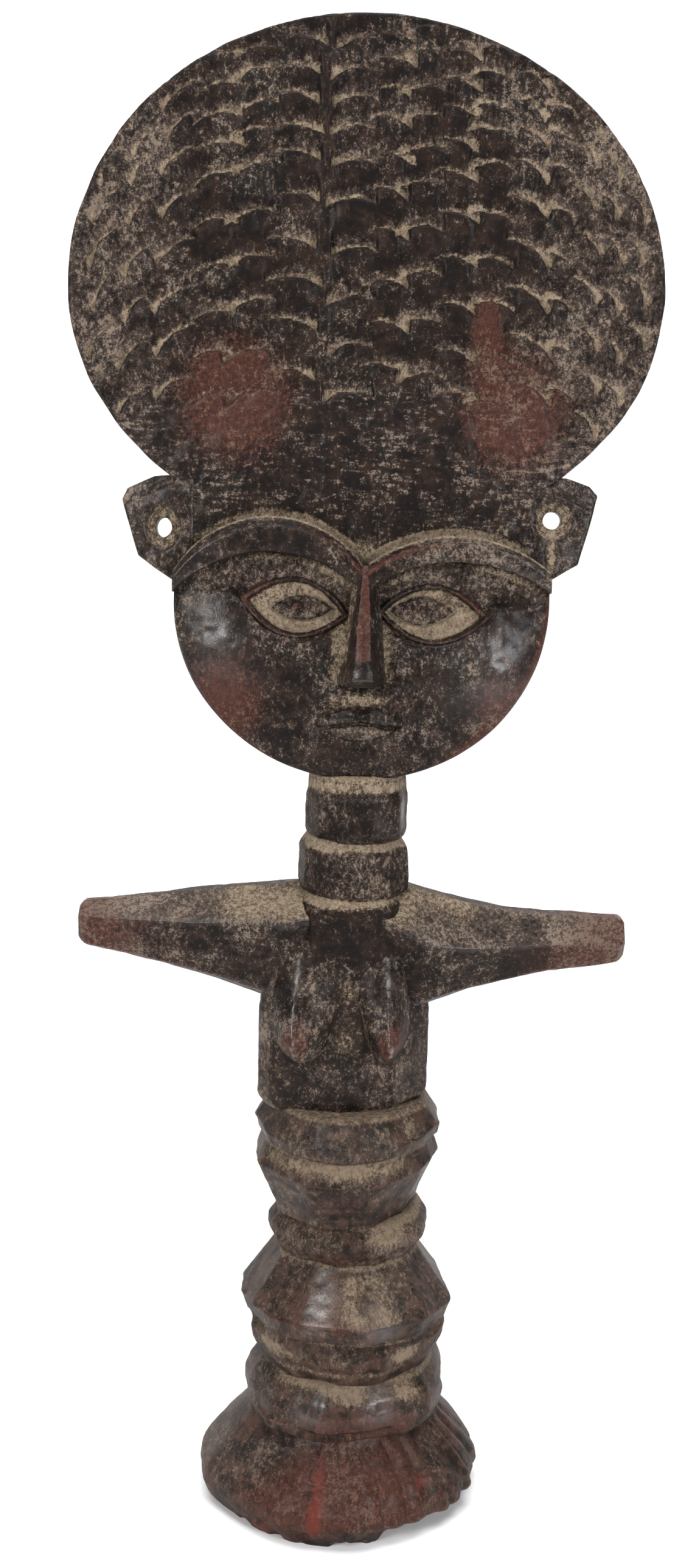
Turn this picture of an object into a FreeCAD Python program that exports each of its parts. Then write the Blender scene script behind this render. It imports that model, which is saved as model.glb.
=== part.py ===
import FreeCAD, Part
import math
import os

# Carved fertility doll, millimetres.  +Z is up, the face looks along -Y and the
# doll stands on its foot at Z = 0.  The real doll is cut from one block of wood;
# each solid here is one carved region, and neighbours meet at a carved groove.

V = FreeCAD.Vector
OUT = "parts"

# ---- head: heights are measured up the head from the chin -------------------
CHIN_Z = 170.0            # height of the chin above the table
HEAD_TILT = 6.0           # the flat head leans back by this angle, degrees
DISC_HALF_WIDTH = 64.6
DISC_CENTRE_UP = 106.0
DISC_RISE = 57.6          # from the disc's widest line to its top
DISC_DROP = 54.0          # from the widest line down to the ears
DISC_FRONT = 8.0
DISC_BACK = -9.0
DISC_RIM_STEP = 3.0       # how much thinner each side is at the rim
DISC_RIM_BAND = 5.0
CORE_HALF_WIDTH = 38.0    # forehead between the ears
CORE_TOP = 72.0

FACE_X = 0.5
FACE_HALF_WIDTH = 41.0
FACE_DROP = 39.0          # from the widest line down to the chin
FACE_FRONT = 12.0
FACE_BACK = -8.0
FACE_EDGE = 2.0

BROW_HEIGHT = 3.6
BROW_EDGE = 1.1
# outer end, top of the arch, inner end
BROW_LEFT_UPPER = ((-40.3, 44.4), (-17.0, 56.8), (0.9, 46.2))
BROW_LEFT_LOWER = ((-40.3, 39.6), (-18.5, 49.2), (-0.8, 43.4))
BROW_RIGHT_UPPER = ((41.2, 44.7), (18.5, 53.6), (0.9, 46.2))
BROW_RIGHT_LOWER = ((41.2, 40.9), (18.5, 48.0), (3.4, 43.4))

NOSE_TOP_UP = 45.6
NOSE_BASE_UP = 20.8
NOSE_X = 1.1
NOSE_RIDGE_WIDTH = 3.0
NOSE_BASE_WIDTH = 11.6
NOSE_TOP_HEIGHT = 3.6
NOSE_TIP_HEIGHT = 8.0

# centre across, centre up, half width, half height
EYE_LEFT = (-14.5, 38.0, 11.0, 5.4)
EYE_RIGHT = (16.3, 36.6, 10.6, 5.6)
LID_HEIGHT = 1.6
LID_WIDTH = 0.78          # inner edge of the lid as a share of the whole eye
EYEBALL = 0.6
MOUTH = (0.6, 12.6, 8.8, 3.6)
LIP_HEIGHT = 2.6
LIP_SLIT = 0.9

EAR_FRONT = 7.0
EAR_BACK = -2.0
EAR_HOLE_RADIUS = 1.9
EAR_HOLE_LEFT = (-42.9, 54.1)
EAR_HOLE_RIGHT = (41.6, 57.4)
EAR_LEFT = ((-38.0, 66.0), (-45.0, 65.2), (-51.0, 62.4), (-52.2, 60.0), (-48.4, 47.8), (-41.0, 42.8))
EAR_RIGHT = ((38.0, 67.5), (44.5, 66.6), (49.6, 65.0), (51.5, 62.9), (47.6, 47.8), (41.3, 44.2))

# ---- hair: rows of hollow gouge cuts on both flat sides ---------------------
SCALLOP_ACROSS = 14.5     # spacing of the plaits
SCALLOP_UP = 5.6          # spacing of the rows
SCALLOP_BALL = 14.0       # radius of the hollow's curve
SCALLOP_DEPTH = 1.0
SCALLOP_FAN = 0.42        # outward turn of a cut, degrees for each mm off centre
HAIR_FROM_UP = 86.0

# ---- neck, arms and torso ---------------------------------------------------
NECK_UPPER = ((158.4, 10.4), (160.0, 11.2), (171.0, 11.2))
NECK_LOWER = ((143.4, 11.6), (145.2, 12.3), (157.0, 11.2), (158.4, 10.4))
COLLAR = ((134.0, 12.8), (142.2, 12.4), (143.4, 11.6))

ARM_SPAN = 61.4
ARM_ROOT_X = 10.0
ARM_ROOT_Z = 131.2
ARM_ROOT_HALF_HEIGHT = 15.4
ARM_ROOT_HALF_DEPTH = 11.6
ARM_TIP_Z = 134.9
ARM_TIP_HALF_HEIGHT = 5.2
ARM_TIP_HALF_DEPTH = 4.6
ARM_END_BEVEL = 1.6
# corners of the whittled section as shares of its half depth and half height
ARM_SECTION = (
    (-1.0, 0.10), (-0.74, 0.72), (-0.05, 1.0), (0.75, 0.70),
    (1.0, -0.05), (0.70, -0.74), (0.0, -1.0), (-0.72, -0.72),
)

TORSO_TOP = 134.0
TORSO_BOTTOM = 95.4
TORSO_CORNER = 2.4
TORSO_LEFT = -20.7
TORSO_RIGHT = 18.1
TORSO_BACK = 12.0
TORSO_FRONT = -13.6

BREAST_TOP = 133.0
BREAST_FULL = 115.5
BREAST_TIP = 109.2
BREAST_OUT = 8.0          # how far the fullest point stands off the chest
BREAST_LEFT_X = -11.6
BREAST_LEFT_WIDTH = 11.5
BREAST_RIGHT_X = 8.4
BREAST_RIGHT_WIDTH = 10.0

# ---- ringed body: (height, radius) up each ring -----------------------------
HIP_RING = ((87.3, 19.6), (88.6, 20.5), (90.4, 20.5), (95.4, 18.2))
WAIST_CONE = ((69.9, 16.3), (82.1, 20.8), (84.0, 20.6), (87.3, 19.4))
WAIST_RING = ((60.6, 16.4), (63.2, 18.2), (67.2, 18.2), (69.9, 16.3))
SKIRT_FLARE = ((44.6, 22.9), (49.0, 24.3), (60.6, 16.4))
SKIRT_RING = ((33.9, 20.1), (39.5, 22.4), (42.6, 23.1), (44.6, 22.9))
BASE_RING = ((20.6, 22.9), (24.4, 23.5), (29.4, 22.8), (33.9, 20.1))
FOOT = ((0.0, 30.4), (4.4, 33.1), (9.5, 30.6), (15.5, 26.4), (20.6, 22.9))
RING_FLATS = 20
FLARE_FLATS = 10
FOOT_FLATS = 18
FOOT_UNEVEN = 0.7         # how far the hacked rim wanders in and out


# ---- shared shapes ----------------------------------------------------------
def polygon(points):
    """Closed straight-edged wire through the points."""
    return Part.makePolygon(list(points) + [points[0]])


def arc(three_points, height):
    """Circular arc through three (across, up) points at one height."""
    first, middle, last = [V(x, y, height) for x, y in three_points]
    return Part.Arc(first, middle, last).toShape()


def line(start, end):
    return Part.makeLine(start, end)


def half_ellipse(centre, half_width, rise, upper, height=0.0):
    """Upper or lower half of an ellipse that is wider than it is tall."""
    ellipse = Part.Ellipse(V(centre[0], centre[1], height), half_width, rise)
    start = 0.0 if upper else math.pi
    return Part.ArcOfEllipse(ellipse, start, start + math.pi).toShape()


def slab(wire, low, high):
    """Solid between two heights over a flat outline."""
    face = Part.Face(wire)
    face.translate(V(0, 0, low))
    return face.extrude(V(0, 0, high - low))


def almond(centre_x, centre_y, half_width, half_height, share=1.0):
    """Pointed oval outline made of two arcs."""
    w = half_width * share
    h = half_height * share
    left = (centre_x - w, centre_y)
    right = (centre_x + w, centre_y)
    top = arc((left, (centre_x, centre_y + h), right), 0)
    bottom = arc((right, (centre_x, centre_y - h), left), 0)
    return Part.Wire([top, bottom])


def edges_at(shape, height):
    """Edges of a solid that lie wholly at one height."""
    found = []
    for edge in shape.Edges:
        box = edge.BoundBox
        if abs(box.ZMin - height) < 1e-3 and abs(box.ZMax - height) < 1e-3:
            found.append(edge)
    return found


def whittled(profile, flats, turn=0.0, uneven=0.0):
    """Stack of flat-sided hoops: one polygon at every (height, radius)."""
    hoops = []
    for height, radius in profile:
        corners = []
        for i in range(flats):
            angle = math.radians(turn) + 2 * math.pi * i / flats
            wander = uneven * (math.sin(3 * angle + 0.6) + 0.6 * math.sin(7 * angle))
            reach = (radius + wander) / math.cos(math.pi / flats)
            corners.append(V(reach * math.cos(angle), reach * math.sin(angle), height))
        hoops.append(polygon(corners))
    return Part.makeLoft(hoops, True, True)


def turned(profile):
    """Round ring from (height, radius) points."""
    points = [V(0, 0, profile[0][0])]
    for height, radius in profile:
        points.append(V(radius, 0, height))
    points.append(V(0, 0, profile[-1][0]))
    return Part.Face(polygon(points)).revolve(V(0, 0, 0), V(0, 0, 1), 360)


# ---- head, drawn lying flat: x across, y up the head, z towards the front ----
def disc_outline(inset, height):
    """The hair disc's rim, moved in by `inset`, at one height."""
    centre = (0.0, DISC_CENTRE_UP)
    width = DISC_HALF_WIDTH - inset
    upper = half_ellipse(centre, width, DISC_RISE - inset, True, height)
    lower = half_ellipse(centre, width, DISC_DROP - inset, False, height)
    return Part.Wire([upper, lower])


def disc_slab():
    """Flat disc whose two faces fall back over a band along the rim."""
    rims = [
        disc_outline(DISC_RIM_BAND, DISC_BACK),
        disc_outline(0.0, DISC_BACK + DISC_RIM_STEP),
        disc_outline(0.0, DISC_FRONT - DISC_RIM_STEP),
        disc_outline(DISC_RIM_BAND, DISC_FRONT),
    ]
    return Part.makeLoft(rims, True, True)


def face_outline():
    """Chin and cheeks below, the two brow arches above."""
    left = FACE_X - FACE_HALF_WIDTH
    right = FACE_X + FACE_HALF_WIDTH
    widest = FACE_DROP
    jaw = half_ellipse((FACE_X, widest), FACE_HALF_WIDTH, FACE_DROP, False)
    left_end = V(BROW_LEFT_UPPER[0][0], BROW_LEFT_UPPER[0][1], 0)
    right_end = V(BROW_RIGHT_UPPER[0][0], BROW_RIGHT_UPPER[0][1], 0)
    edges = [
        jaw,
        line(V(right, widest, 0), right_end),
        arc(BROW_RIGHT_UPPER, 0),
        arc(BROW_LEFT_UPPER, 0),
        line(left_end, V(left, widest, 0)),
    ]
    return Part.Wire(Part.__sortEdges__(edges))


def core_block():
    """Forehead and back of the head between the ears."""
    w = CORE_HALF_WIDTH
    outline = polygon([V(-w, 36, 0), V(w, 36, 0), V(w, CORE_TOP, 0), V(-w, CORE_TOP, 0)])
    return slab(outline, DISC_BACK, DISC_FRONT)


def scallop_places():
    """Foot of every gouge cut: plaits side by side, every other one half a row up."""
    places = []
    for column in range(-4, 5):
        x = column * SCALLOP_ACROSS
        droop = 0.35 * abs(column) ** 1.6
        stagger = SCALLOP_UP / 2 * (column % 2)
        for row in range(16):
            y = HAIR_FROM_UP + row * SCALLOP_UP + stagger - droop
            across = x / (DISC_HALF_WIDTH - 8.0)
            up = (y + 2.5 - DISC_CENTRE_UP) / (DISC_RISE - 8.0)
            if across * across + up * up < 1.0:
                places.append((x, y))
    return places


def scallop_cuts():
    """Half-moon hollows, arched upwards, in the front and back of the disc."""
    ball = Part.makeSphere(SCALLOP_BALL)
    half = ball.common(Part.makeBox(16.0, 8.0, 4.0, V(-8.0, 0.0, -SCALLOP_BALL)))
    lift = SCALLOP_BALL - SCALLOP_DEPTH
    cuts = []
    for x, y in scallop_places():
        front = half.copy()
        front.rotate(V(0, 0, 0), V(0, 0, 1), -SCALLOP_FAN * x)
        back = front.mirror(V(0, 0, 0), V(0, 0, 1))
        front.translate(V(x, y, DISC_FRONT + lift))
        back.translate(V(x, y, DISC_BACK - lift))
        cuts += [front, back]
    return cuts


def make_head_disc(face_cut, ear_cuts):
    head = disc_slab().fuse(core_block()).removeSplitter()
    head = head.cut(face_cut)
    head = head.cut(scallop_cuts())
    return head.cut(ear_cuts)


def make_face():
    body = slab(face_outline(), FACE_BACK, FACE_FRONT)
    front_jaw = []
    for edge in edges_at(body, FACE_FRONT) + edges_at(body, FACE_BACK):
        if edge.BoundBox.YMin < 1.0:
            front_jaw.append(edge)
    return body.makeChamfer(FACE_EDGE, front_jaw)


def make_brow(upper, lower):
    outer = line(V(upper[0][0], upper[0][1], 0), V(lower[0][0], lower[0][1], 0))
    inner = line(V(lower[2][0], lower[2][1], 0), V(upper[2][0], upper[2][1], 0))
    edges = Part.__sortEdges__([arc(upper, 0), inner, arc(lower, 0), outer])
    top = FACE_FRONT + BROW_HEIGHT
    brow = slab(Part.Wire(edges), FACE_FRONT, top)
    long_edges = [e for e in edges_at(brow, top) if e.Length > 12.0]
    return brow.makeChamfer(BROW_EDGE, long_edges)


def make_nose(neighbours):
    half_ridge = NOSE_RIDGE_WIDTH / 2
    half_base = NOSE_BASE_WIDTH / 2
    top_height = FACE_FRONT + NOSE_TOP_HEIGHT
    tip_height = FACE_FRONT + NOSE_TIP_HEIGHT
    upper = polygon([
        V(NOSE_X - half_ridge, NOSE_TOP_UP, FACE_FRONT),
        V(NOSE_X + half_ridge, NOSE_TOP_UP, FACE_FRONT),
        V(NOSE_X + half_ridge * 0.8, NOSE_TOP_UP, top_height),
        V(NOSE_X - half_ridge * 0.8, NOSE_TOP_UP, top_height),
    ])
    base = polygon([
        V(NOSE_X - half_base, NOSE_BASE_UP, FACE_FRONT),
        V(NOSE_X + half_base, NOSE_BASE_UP, FACE_FRONT),
        V(NOSE_X + half_ridge, NOSE_BASE_UP + 1.6, tip_height),
        V(NOSE_X - half_ridge, NOSE_BASE_UP + 1.6, tip_height),
    ])
    return Part.makeLoft([upper, base], True, True).cut(neighbours)


def make_eye(place, neighbours):
    """Raised lid, sunk ring and eyeball of one eye."""
    lid = slab(almond(*place), FACE_FRONT, FACE_FRONT + LID_HEIGHT)
    socket = slab(almond(*place, LID_WIDTH), FACE_FRONT + 0.6, FACE_FRONT + 5.0)
    ball = slab(almond(*place, EYEBALL), FACE_FRONT, FACE_FRONT + LID_HEIGHT + 0.6)
    ball = ball.makeChamfer(0.6, edges_at(ball, FACE_FRONT + LID_HEIGHT + 0.6))
    return lid.cut(socket).fuse(ball).removeSplitter().cut(neighbours)


def make_mouth():
    """Two lips parted by a slit."""
    top = FACE_FRONT + LIP_HEIGHT
    lips = slab(almond(*MOUTH), FACE_FRONT, top)
    lips = lips.makeChamfer(0.9, edges_at(lips, top))
    slit = Part.makeBox(14.0, LIP_SLIT, 4.0)
    slit.translate(V(MOUTH[0] - 7.0, MOUTH[1] - LIP_SLIT / 2, FACE_FRONT + 1.2))
    return lips.cut(slit)


def make_ear(outline, hole, side, neighbours):
    """Lug with a hole through it, rooted in the side of the head."""
    root_top = V(side * 30.0, outline[0][1], 0)
    root_low = V(side * 30.0, outline[-1][1], 0)
    points = [root_top] + [V(x, y, 0) for x, y in outline] + [root_low]
    ear = slab(polygon(points), EAR_BACK, EAR_FRONT)
    ear = ear.cut(neighbours)
    depth = EAR_FRONT - EAR_BACK
    bore = Part.makeCylinder(EAR_HOLE_RADIUS, depth + 2, V(hole[0], hole[1], EAR_BACK - 1))
    return ear.cut(bore)


def ear_block(outline, side):
    """Room taken out of the head so the ear's root can sit in it."""
    points = [V(side * CORE_HALF_WIDTH, outline[0][1], 0)]
    points += [V(x, y, 0) for x, y in outline[1:]]
    points.append(V(side * CORE_HALF_WIDTH, outline[-1][1], 0))
    return slab(polygon(points), EAR_BACK, EAR_FRONT)


def stand_head(shape):
    """Raise a flat-drawn head piece upright, lean it back, set it on the neck."""
    placed = shape.copy()
    placed.rotate(V(0, 0, 0), V(1, 0, 0), 90.0 - HEAD_TILT)
    placed.translate(V(0, 0, CHIN_Z))
    return placed


def make_head_parts():
    face = make_face()
    face_room = slab(face_outline(), DISC_BACK - 5, FACE_FRONT + 5)
    ear_rooms = [ear_block(EAR_LEFT, -1), ear_block(EAR_RIGHT, 1)]
    head_disc = make_head_disc(face_room, ear_rooms)
    brow_left = make_brow(BROW_LEFT_UPPER, BROW_LEFT_LOWER)
    brow_right = make_brow(BROW_RIGHT_UPPER, BROW_RIGHT_LOWER)
    nose = make_nose([brow_left, brow_right])
    flat = {
        "head_disc": head_disc,
        "face": face,
        "brow_left": brow_left,
        "brow_right": brow_right,
        "nose": nose,
        "eye_left": make_eye(EYE_LEFT, [nose, brow_left]),
        "eye_right": make_eye(EYE_RIGHT, [nose, brow_right]),
        "mouth": make_mouth(),
        "ear_left": make_ear(EAR_LEFT, EAR_HOLE_LEFT, -1, [head_disc, face_room]),
        "ear_right": make_ear(EAR_RIGHT, EAR_HOLE_RIGHT, 1, [head_disc, face_room]),
    }
    return {name: stand_head(shape) for name, shape in flat.items()}


# ---- body, drawn standing ---------------------------------------------------
def torso_outline():
    front_left = (TORSO_LEFT + 3.0, -10.6)
    front_right = (TORSO_RIGHT - 7.6, -11.4)
    front = arc((front_left, (-1.5, TORSO_FRONT), front_right), 0)
    corners = [
        front_right, (TORSO_RIGHT, -4.0), (TORSO_RIGHT, 6.0), (TORSO_RIGHT - 7.0, TORSO_BACK),
        (TORSO_LEFT + 7.5, TORSO_BACK), (TORSO_LEFT, 5.0), (TORSO_LEFT, -7.0), front_left,
    ]
    points = [V(x, y, 0) for x, y in corners]
    sides = [line(a, b) for a, b in zip(points, points[1:])]
    return Part.Wire([front] + sides)


def make_torso():
    body = slab(torso_outline(), TORSO_BOTTOM, TORSO_TOP)
    return body.makeChamfer(TORSO_CORNER, edges_at(body, TORSO_BOTTOM))


def make_breast(centre_x, width, torso):
    """Long hanging wedge with a ridge down its front and a blunt tip."""
    levels = (
        (BREAST_TOP, 0.55, 0.8),
        (BREAST_FULL, 1.0, BREAST_OUT),
        (BREAST_TIP, 0.6, 1.6),
    )
    sections = []
    for height, share, out in levels:
        half = width * share / 2
        ridge = TORSO_FRONT - out
        shoulder = TORSO_FRONT - out * 0.45
        sections.append(polygon([
            V(centre_x - half, -9.0, height),
            V(centre_x - half * 0.9, shoulder, height),
            V(centre_x, ridge, height),
            V(centre_x + half * 0.9, shoulder, height),
            V(centre_x + half, -9.0, height),
        ]))
    place = V(centre_x, TORSO_FRONT - BREAST_OUT * 0.72, BREAST_FULL)
    nipple = Part.makeCone(2.2, 0.9, 3.6, place, V(0, -1, -0.25))
    return Part.makeLoft(sections, True, True).fuse(nipple).cut(torso)


def arm_section(x, height_z, half_depth, half_height):
    corners = []
    for share_y, share_z in ARM_SECTION:
        corners.append(V(x, share_y * half_depth, height_z + share_z * half_height))
    return polygon(corners)


def make_arm(side, neighbours):
    """Whittled cone from the shoulder to a flat-cut, bevelled end."""
    end = ARM_SPAN
    root = arm_section(side * ARM_ROOT_X, ARM_ROOT_Z, ARM_ROOT_HALF_DEPTH, ARM_ROOT_HALF_HEIGHT)
    tip = arm_section(
        side * (end - ARM_END_BEVEL), ARM_TIP_Z, ARM_TIP_HALF_DEPTH, ARM_TIP_HALF_HEIGHT)
    cap = arm_section(
        side * end, ARM_TIP_Z, ARM_TIP_HALF_DEPTH * 0.7, ARM_TIP_HALF_HEIGHT * 0.7)
    return Part.makeLoft([root, tip, cap], True, True).cut(neighbours)


def make_body_parts():
    torso = make_torso()
    collar = turned(COLLAR)
    neck_lower = turned(NECK_LOWER)
    breast_left = make_breast(BREAST_LEFT_X, BREAST_LEFT_WIDTH, torso)
    breast_right = make_breast(BREAST_RIGHT_X, BREAST_RIGHT_WIDTH, torso)
    around_arms = [torso, collar, neck_lower, breast_left, breast_right]
    return {
        "neck_ring_lower": neck_lower,
        "neck_collar": collar,
        "torso": torso,
        "breast_left": breast_left,
        "breast_right": breast_right,
        "arm_left": make_arm(-1, around_arms),
        "arm_right": make_arm(1, around_arms),
        "hip_ring": whittled(HIP_RING, RING_FLATS, 5.0),
        "waist_cone": whittled(WAIST_CONE, RING_FLATS, 0.0),
        "waist_ring": whittled(WAIST_RING, RING_FLATS, 7.0),
        "skirt_flare": whittled(SKIRT_FLARE, FLARE_FLATS, 4.0),
        "skirt_ring": whittled(SKIRT_RING, RING_FLATS, 3.0),
        "base_ring": whittled(BASE_RING, RING_FLATS, 0.0),
        "foot": whittled(FOOT, FOOT_FLATS, 6.0, FOOT_UNEVEN),
    }


def write_part(name, shape):
    """One STEP file per part, with every solid checked first."""
    solids = shape.Solids
    if len(solids) != 1 or not solids[0].isValid():
        raise RuntimeError("%s: %d solids, valid %s" % (name, len(solids), shape.isValid()))
    solids[0].exportStep(os.path.join(OUT, name + ".step"))


def main():
    os.makedirs("parts", exist_ok=True)
    parts = make_head_parts()
    parts.update(make_body_parts())
    head = [parts["face"], parts["mouth"], parts["head_disc"]]
    parts["neck_ring_upper"] = turned(NECK_UPPER).cut(head)
    for name in sorted(parts):
        write_part(name, parts[name])


main()
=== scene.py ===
import math
import bpy
import numpy as np
from mathutils import Matrix, Vector


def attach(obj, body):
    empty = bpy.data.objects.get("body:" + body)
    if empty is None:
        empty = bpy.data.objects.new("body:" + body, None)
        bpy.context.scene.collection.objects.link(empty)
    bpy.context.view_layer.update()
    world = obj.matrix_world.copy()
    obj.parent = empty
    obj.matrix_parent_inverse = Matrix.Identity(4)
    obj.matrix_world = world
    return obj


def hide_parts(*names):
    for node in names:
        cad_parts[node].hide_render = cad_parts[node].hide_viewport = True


# Looks of a carved wooden fertility doll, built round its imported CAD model.
# Shapes are worked out in millimetres, in the CAD's own frame: +Z up, face towards -Y.
# Head pieces are drawn lying flat (x across, up the head, depth towards the front)
# and stood up afterwards, as the CAD does.

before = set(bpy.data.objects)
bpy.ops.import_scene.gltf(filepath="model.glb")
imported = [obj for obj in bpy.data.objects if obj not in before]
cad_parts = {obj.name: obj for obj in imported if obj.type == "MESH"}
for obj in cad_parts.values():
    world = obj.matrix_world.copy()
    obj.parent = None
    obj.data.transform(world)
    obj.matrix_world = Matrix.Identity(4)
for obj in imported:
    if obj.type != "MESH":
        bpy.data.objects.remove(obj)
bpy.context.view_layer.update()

MM = 0.001
CHIN_Z = 170.0
HEAD_TILT = math.radians(6.0)

DISC_HALF_WIDTH = 64.3
DISC_CENTRE_UP = 106.0
DISC_RISE = 57.3
DISC_DROP = 53.8
DISC_FRONT = 7.8
DISC_BACK = -8.8
CORE_HALF_WIDTH = 38.0
HAIRLINE_BACK = 63.0

FACE_X = 0.5
FACE_HALF_WIDTH = 40.8
FACE_DROP = 38.8
FACE_BACK = -7.8

# outer end, top of the arch, inner end of each brow's two edges
BROW_LEFT_UPPER = ((-40.3, 44.6), (-17.0, 56.8), (0.9, 46.4))
BROW_LEFT_LOWER = ((-40.3, 40.0), (-18.5, 49.2), (-1.0, 42.6))
BROW_RIGHT_UPPER = ((41.2, 46.0), (19.0, 53.4), (0.9, 46.4))
BROW_RIGHT_LOWER = ((41.2, 41.4), (18.5, 47.7), (3.4, 42.6))

# outer corner, inner corner, rise above and drop below the line between them
EYE_LEFT = ((-25.8, 39.3), (-1.6, 35.8), 6.5, 6.6)
EYE_RIGHT = ((28.2, 36.0), (3.4, 37.0), 6.6, 6.4)
LIPS = ((-9.2, 12.5), (10.9, 12.9), 3.7, 3.7)

EAR_LEFT = (
    (-36.0, 66.0), (-45.0, 65.2), (-50.9, 62.4), (-52.1, 60.0), (-48.3, 47.8), (-41.0, 42.7), (-36.0, 40.0),
)
EAR_RIGHT = (
    (36.0, 67.4), (44.5, 66.6), (49.5, 65.0), (51.4, 62.9), (47.5, 47.8), (41.3, 44.1), (36.0, 42.0),
)
EAR_HOLE_LEFT = (-42.9, 54.1)
EAR_HOLE_RIGHT = (41.6, 57.4)
EAR_HOLE_RADIUS = 1.95


# ---- numbers ----------------------------------------------------------------
def lattice(ix, iy, iz, seed):
    """Fixed value from -1 to 1 for every corner of a cubic lattice."""
    h = (ix * 73856093) ^ (iy * 19349663) ^ (iz * 83492791) ^ (seed * 668265263)
    h = h & 0xFFFFFFFF
    h ^= h >> 15
    h = (h * 2246822519) & 0xFFFFFFFF
    h ^= h >> 13
    h = (h * 3266489917) & 0xFFFFFFFF
    h ^= h >> 16
    return h / 2147483647.5 - 1.0


def noise(points, size, seed):
    """Smooth noise from -1 to 1 with lumps about `size` across."""
    q = np.asarray(points, dtype=np.float64) / size
    cell = np.floor(q).astype(np.int64)
    f = q - cell
    f = f * f * (3.0 - 2.0 * f)
    total = np.zeros(q.shape[:-1])
    for dx in (0, 1):
        wx = f[..., 0] if dx else 1.0 - f[..., 0]
        for dy in (0, 1):
            wy = f[..., 1] if dy else 1.0 - f[..., 1]
            for dz in (0, 1):
                wz = f[..., 2] if dz else 1.0 - f[..., 2]
                corner = lattice(cell[..., 0] + dx, cell[..., 1] + dy, cell[..., 2] + dz, seed)
                total += wx * wy * wz * corner
    return total


def noise_flat(x, y, size, seed):
    x, y = np.broadcast_arrays(x, y)
    return noise(np.stack([x, y, np.zeros_like(x)], axis=-1), size, seed)


def layers(x, y, *parts):
    """Sum of flat noises, each given as (amount, size, seed)."""
    return sum(amount * noise_flat(x, y, size, seed) for amount, size, seed in parts)


def smooth_step(value, low, high):
    t = np.clip((value - low) / (high - low), 0.0, 1.0)
    return t * t * (3.0 - 2.0 * t)


def smooth_max(a, b, k):
    return np.maximum(a, b) + np.maximum(k - np.abs(a - b), 0.0) ** 2 / (4.0 * k)


def blob(x, y, cx, cy, rx, ry):
    """Soft round spot, 1 at its middle."""
    return np.exp(-(((x - cx) / rx) ** 2 + ((y - cy) / ry) ** 2))


def blobs(x, y, *spots):
    """Sum of soft spots, each given as (amount, cx, cy, rx, ry)."""
    return sum(amount * blob(x, y, *spot) for amount, *spot in spots)


def sunk(hollow, gain, most):
    """Mask that grows where the surface lies low."""
    return np.clip(hollow * gain, 0.0, most)


def proud(hollow, gain, most):
    """Mask that grows where the surface stands out."""
    return np.clip(-hollow * gain, 0.0, most)


def arc_height(x, three_points):
    """Height at x of the circular arc through three points, on its upper side."""
    (x1, y1), (x2, y2), (x3, y3) = three_points
    a = np.array([[2 * (x2 - x1), 2 * (y2 - y1)], [2 * (x3 - x1), 2 * (y3 - y1)]])
    b = np.array([x2 ** 2 - x1 ** 2 + y2 ** 2 - y1 ** 2, x3 ** 2 - x1 ** 2 + y3 ** 2 - y1 ** 2])
    cx, cy = np.linalg.solve(a, b)
    radius = math.hypot(x1 - cx, y1 - cy)
    return cy + np.sqrt(np.maximum(radius ** 2 - (x - cx) ** 2, 0.0))


def polygon_distance(x, y, corners):
    """Signed distance to a closed polygon, negative inside."""
    best = np.full(np.broadcast(x, y).shape, 1e9)
    inside = np.zeros(best.shape, dtype=bool)
    for (ax, ay), (bx, by) in zip(corners, corners[1:] + corners[:1]):
        ex, ey = bx - ax, by - ay
        px, py = x - ax, y - ay
        t = np.clip((px * ex + py * ey) / (ex * ex + ey * ey), 0.0, 1.0)
        best = np.minimum(best, np.hypot(px - ex * t, py - ey * t))
        crosses = (ay > y) != (by > y)
        reach = ax + (y - ay) * ex / (ey if abs(ey) > 1e-9 else 1e-9)
        inside ^= crosses & (x < reach)
    return np.where(inside, -best, best)


def ellipse_distance(x, y, a, b):
    """Near-true signed distance to an upright ellipse round the origin."""
    k0 = np.hypot(x / a, y / b)
    k1 = np.hypot(x / (a * a), y / (b * b))
    return np.where(k1 > 1e-6, k0 * (k0 - 1.0) / np.maximum(k1, 1e-6), -min(a, b))


# ---- meshes -----------------------------------------------------------------
CORNERS = [(i, j, k) for i in (0, 1) for j in (0, 1) for k in (0, 1)]


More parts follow.
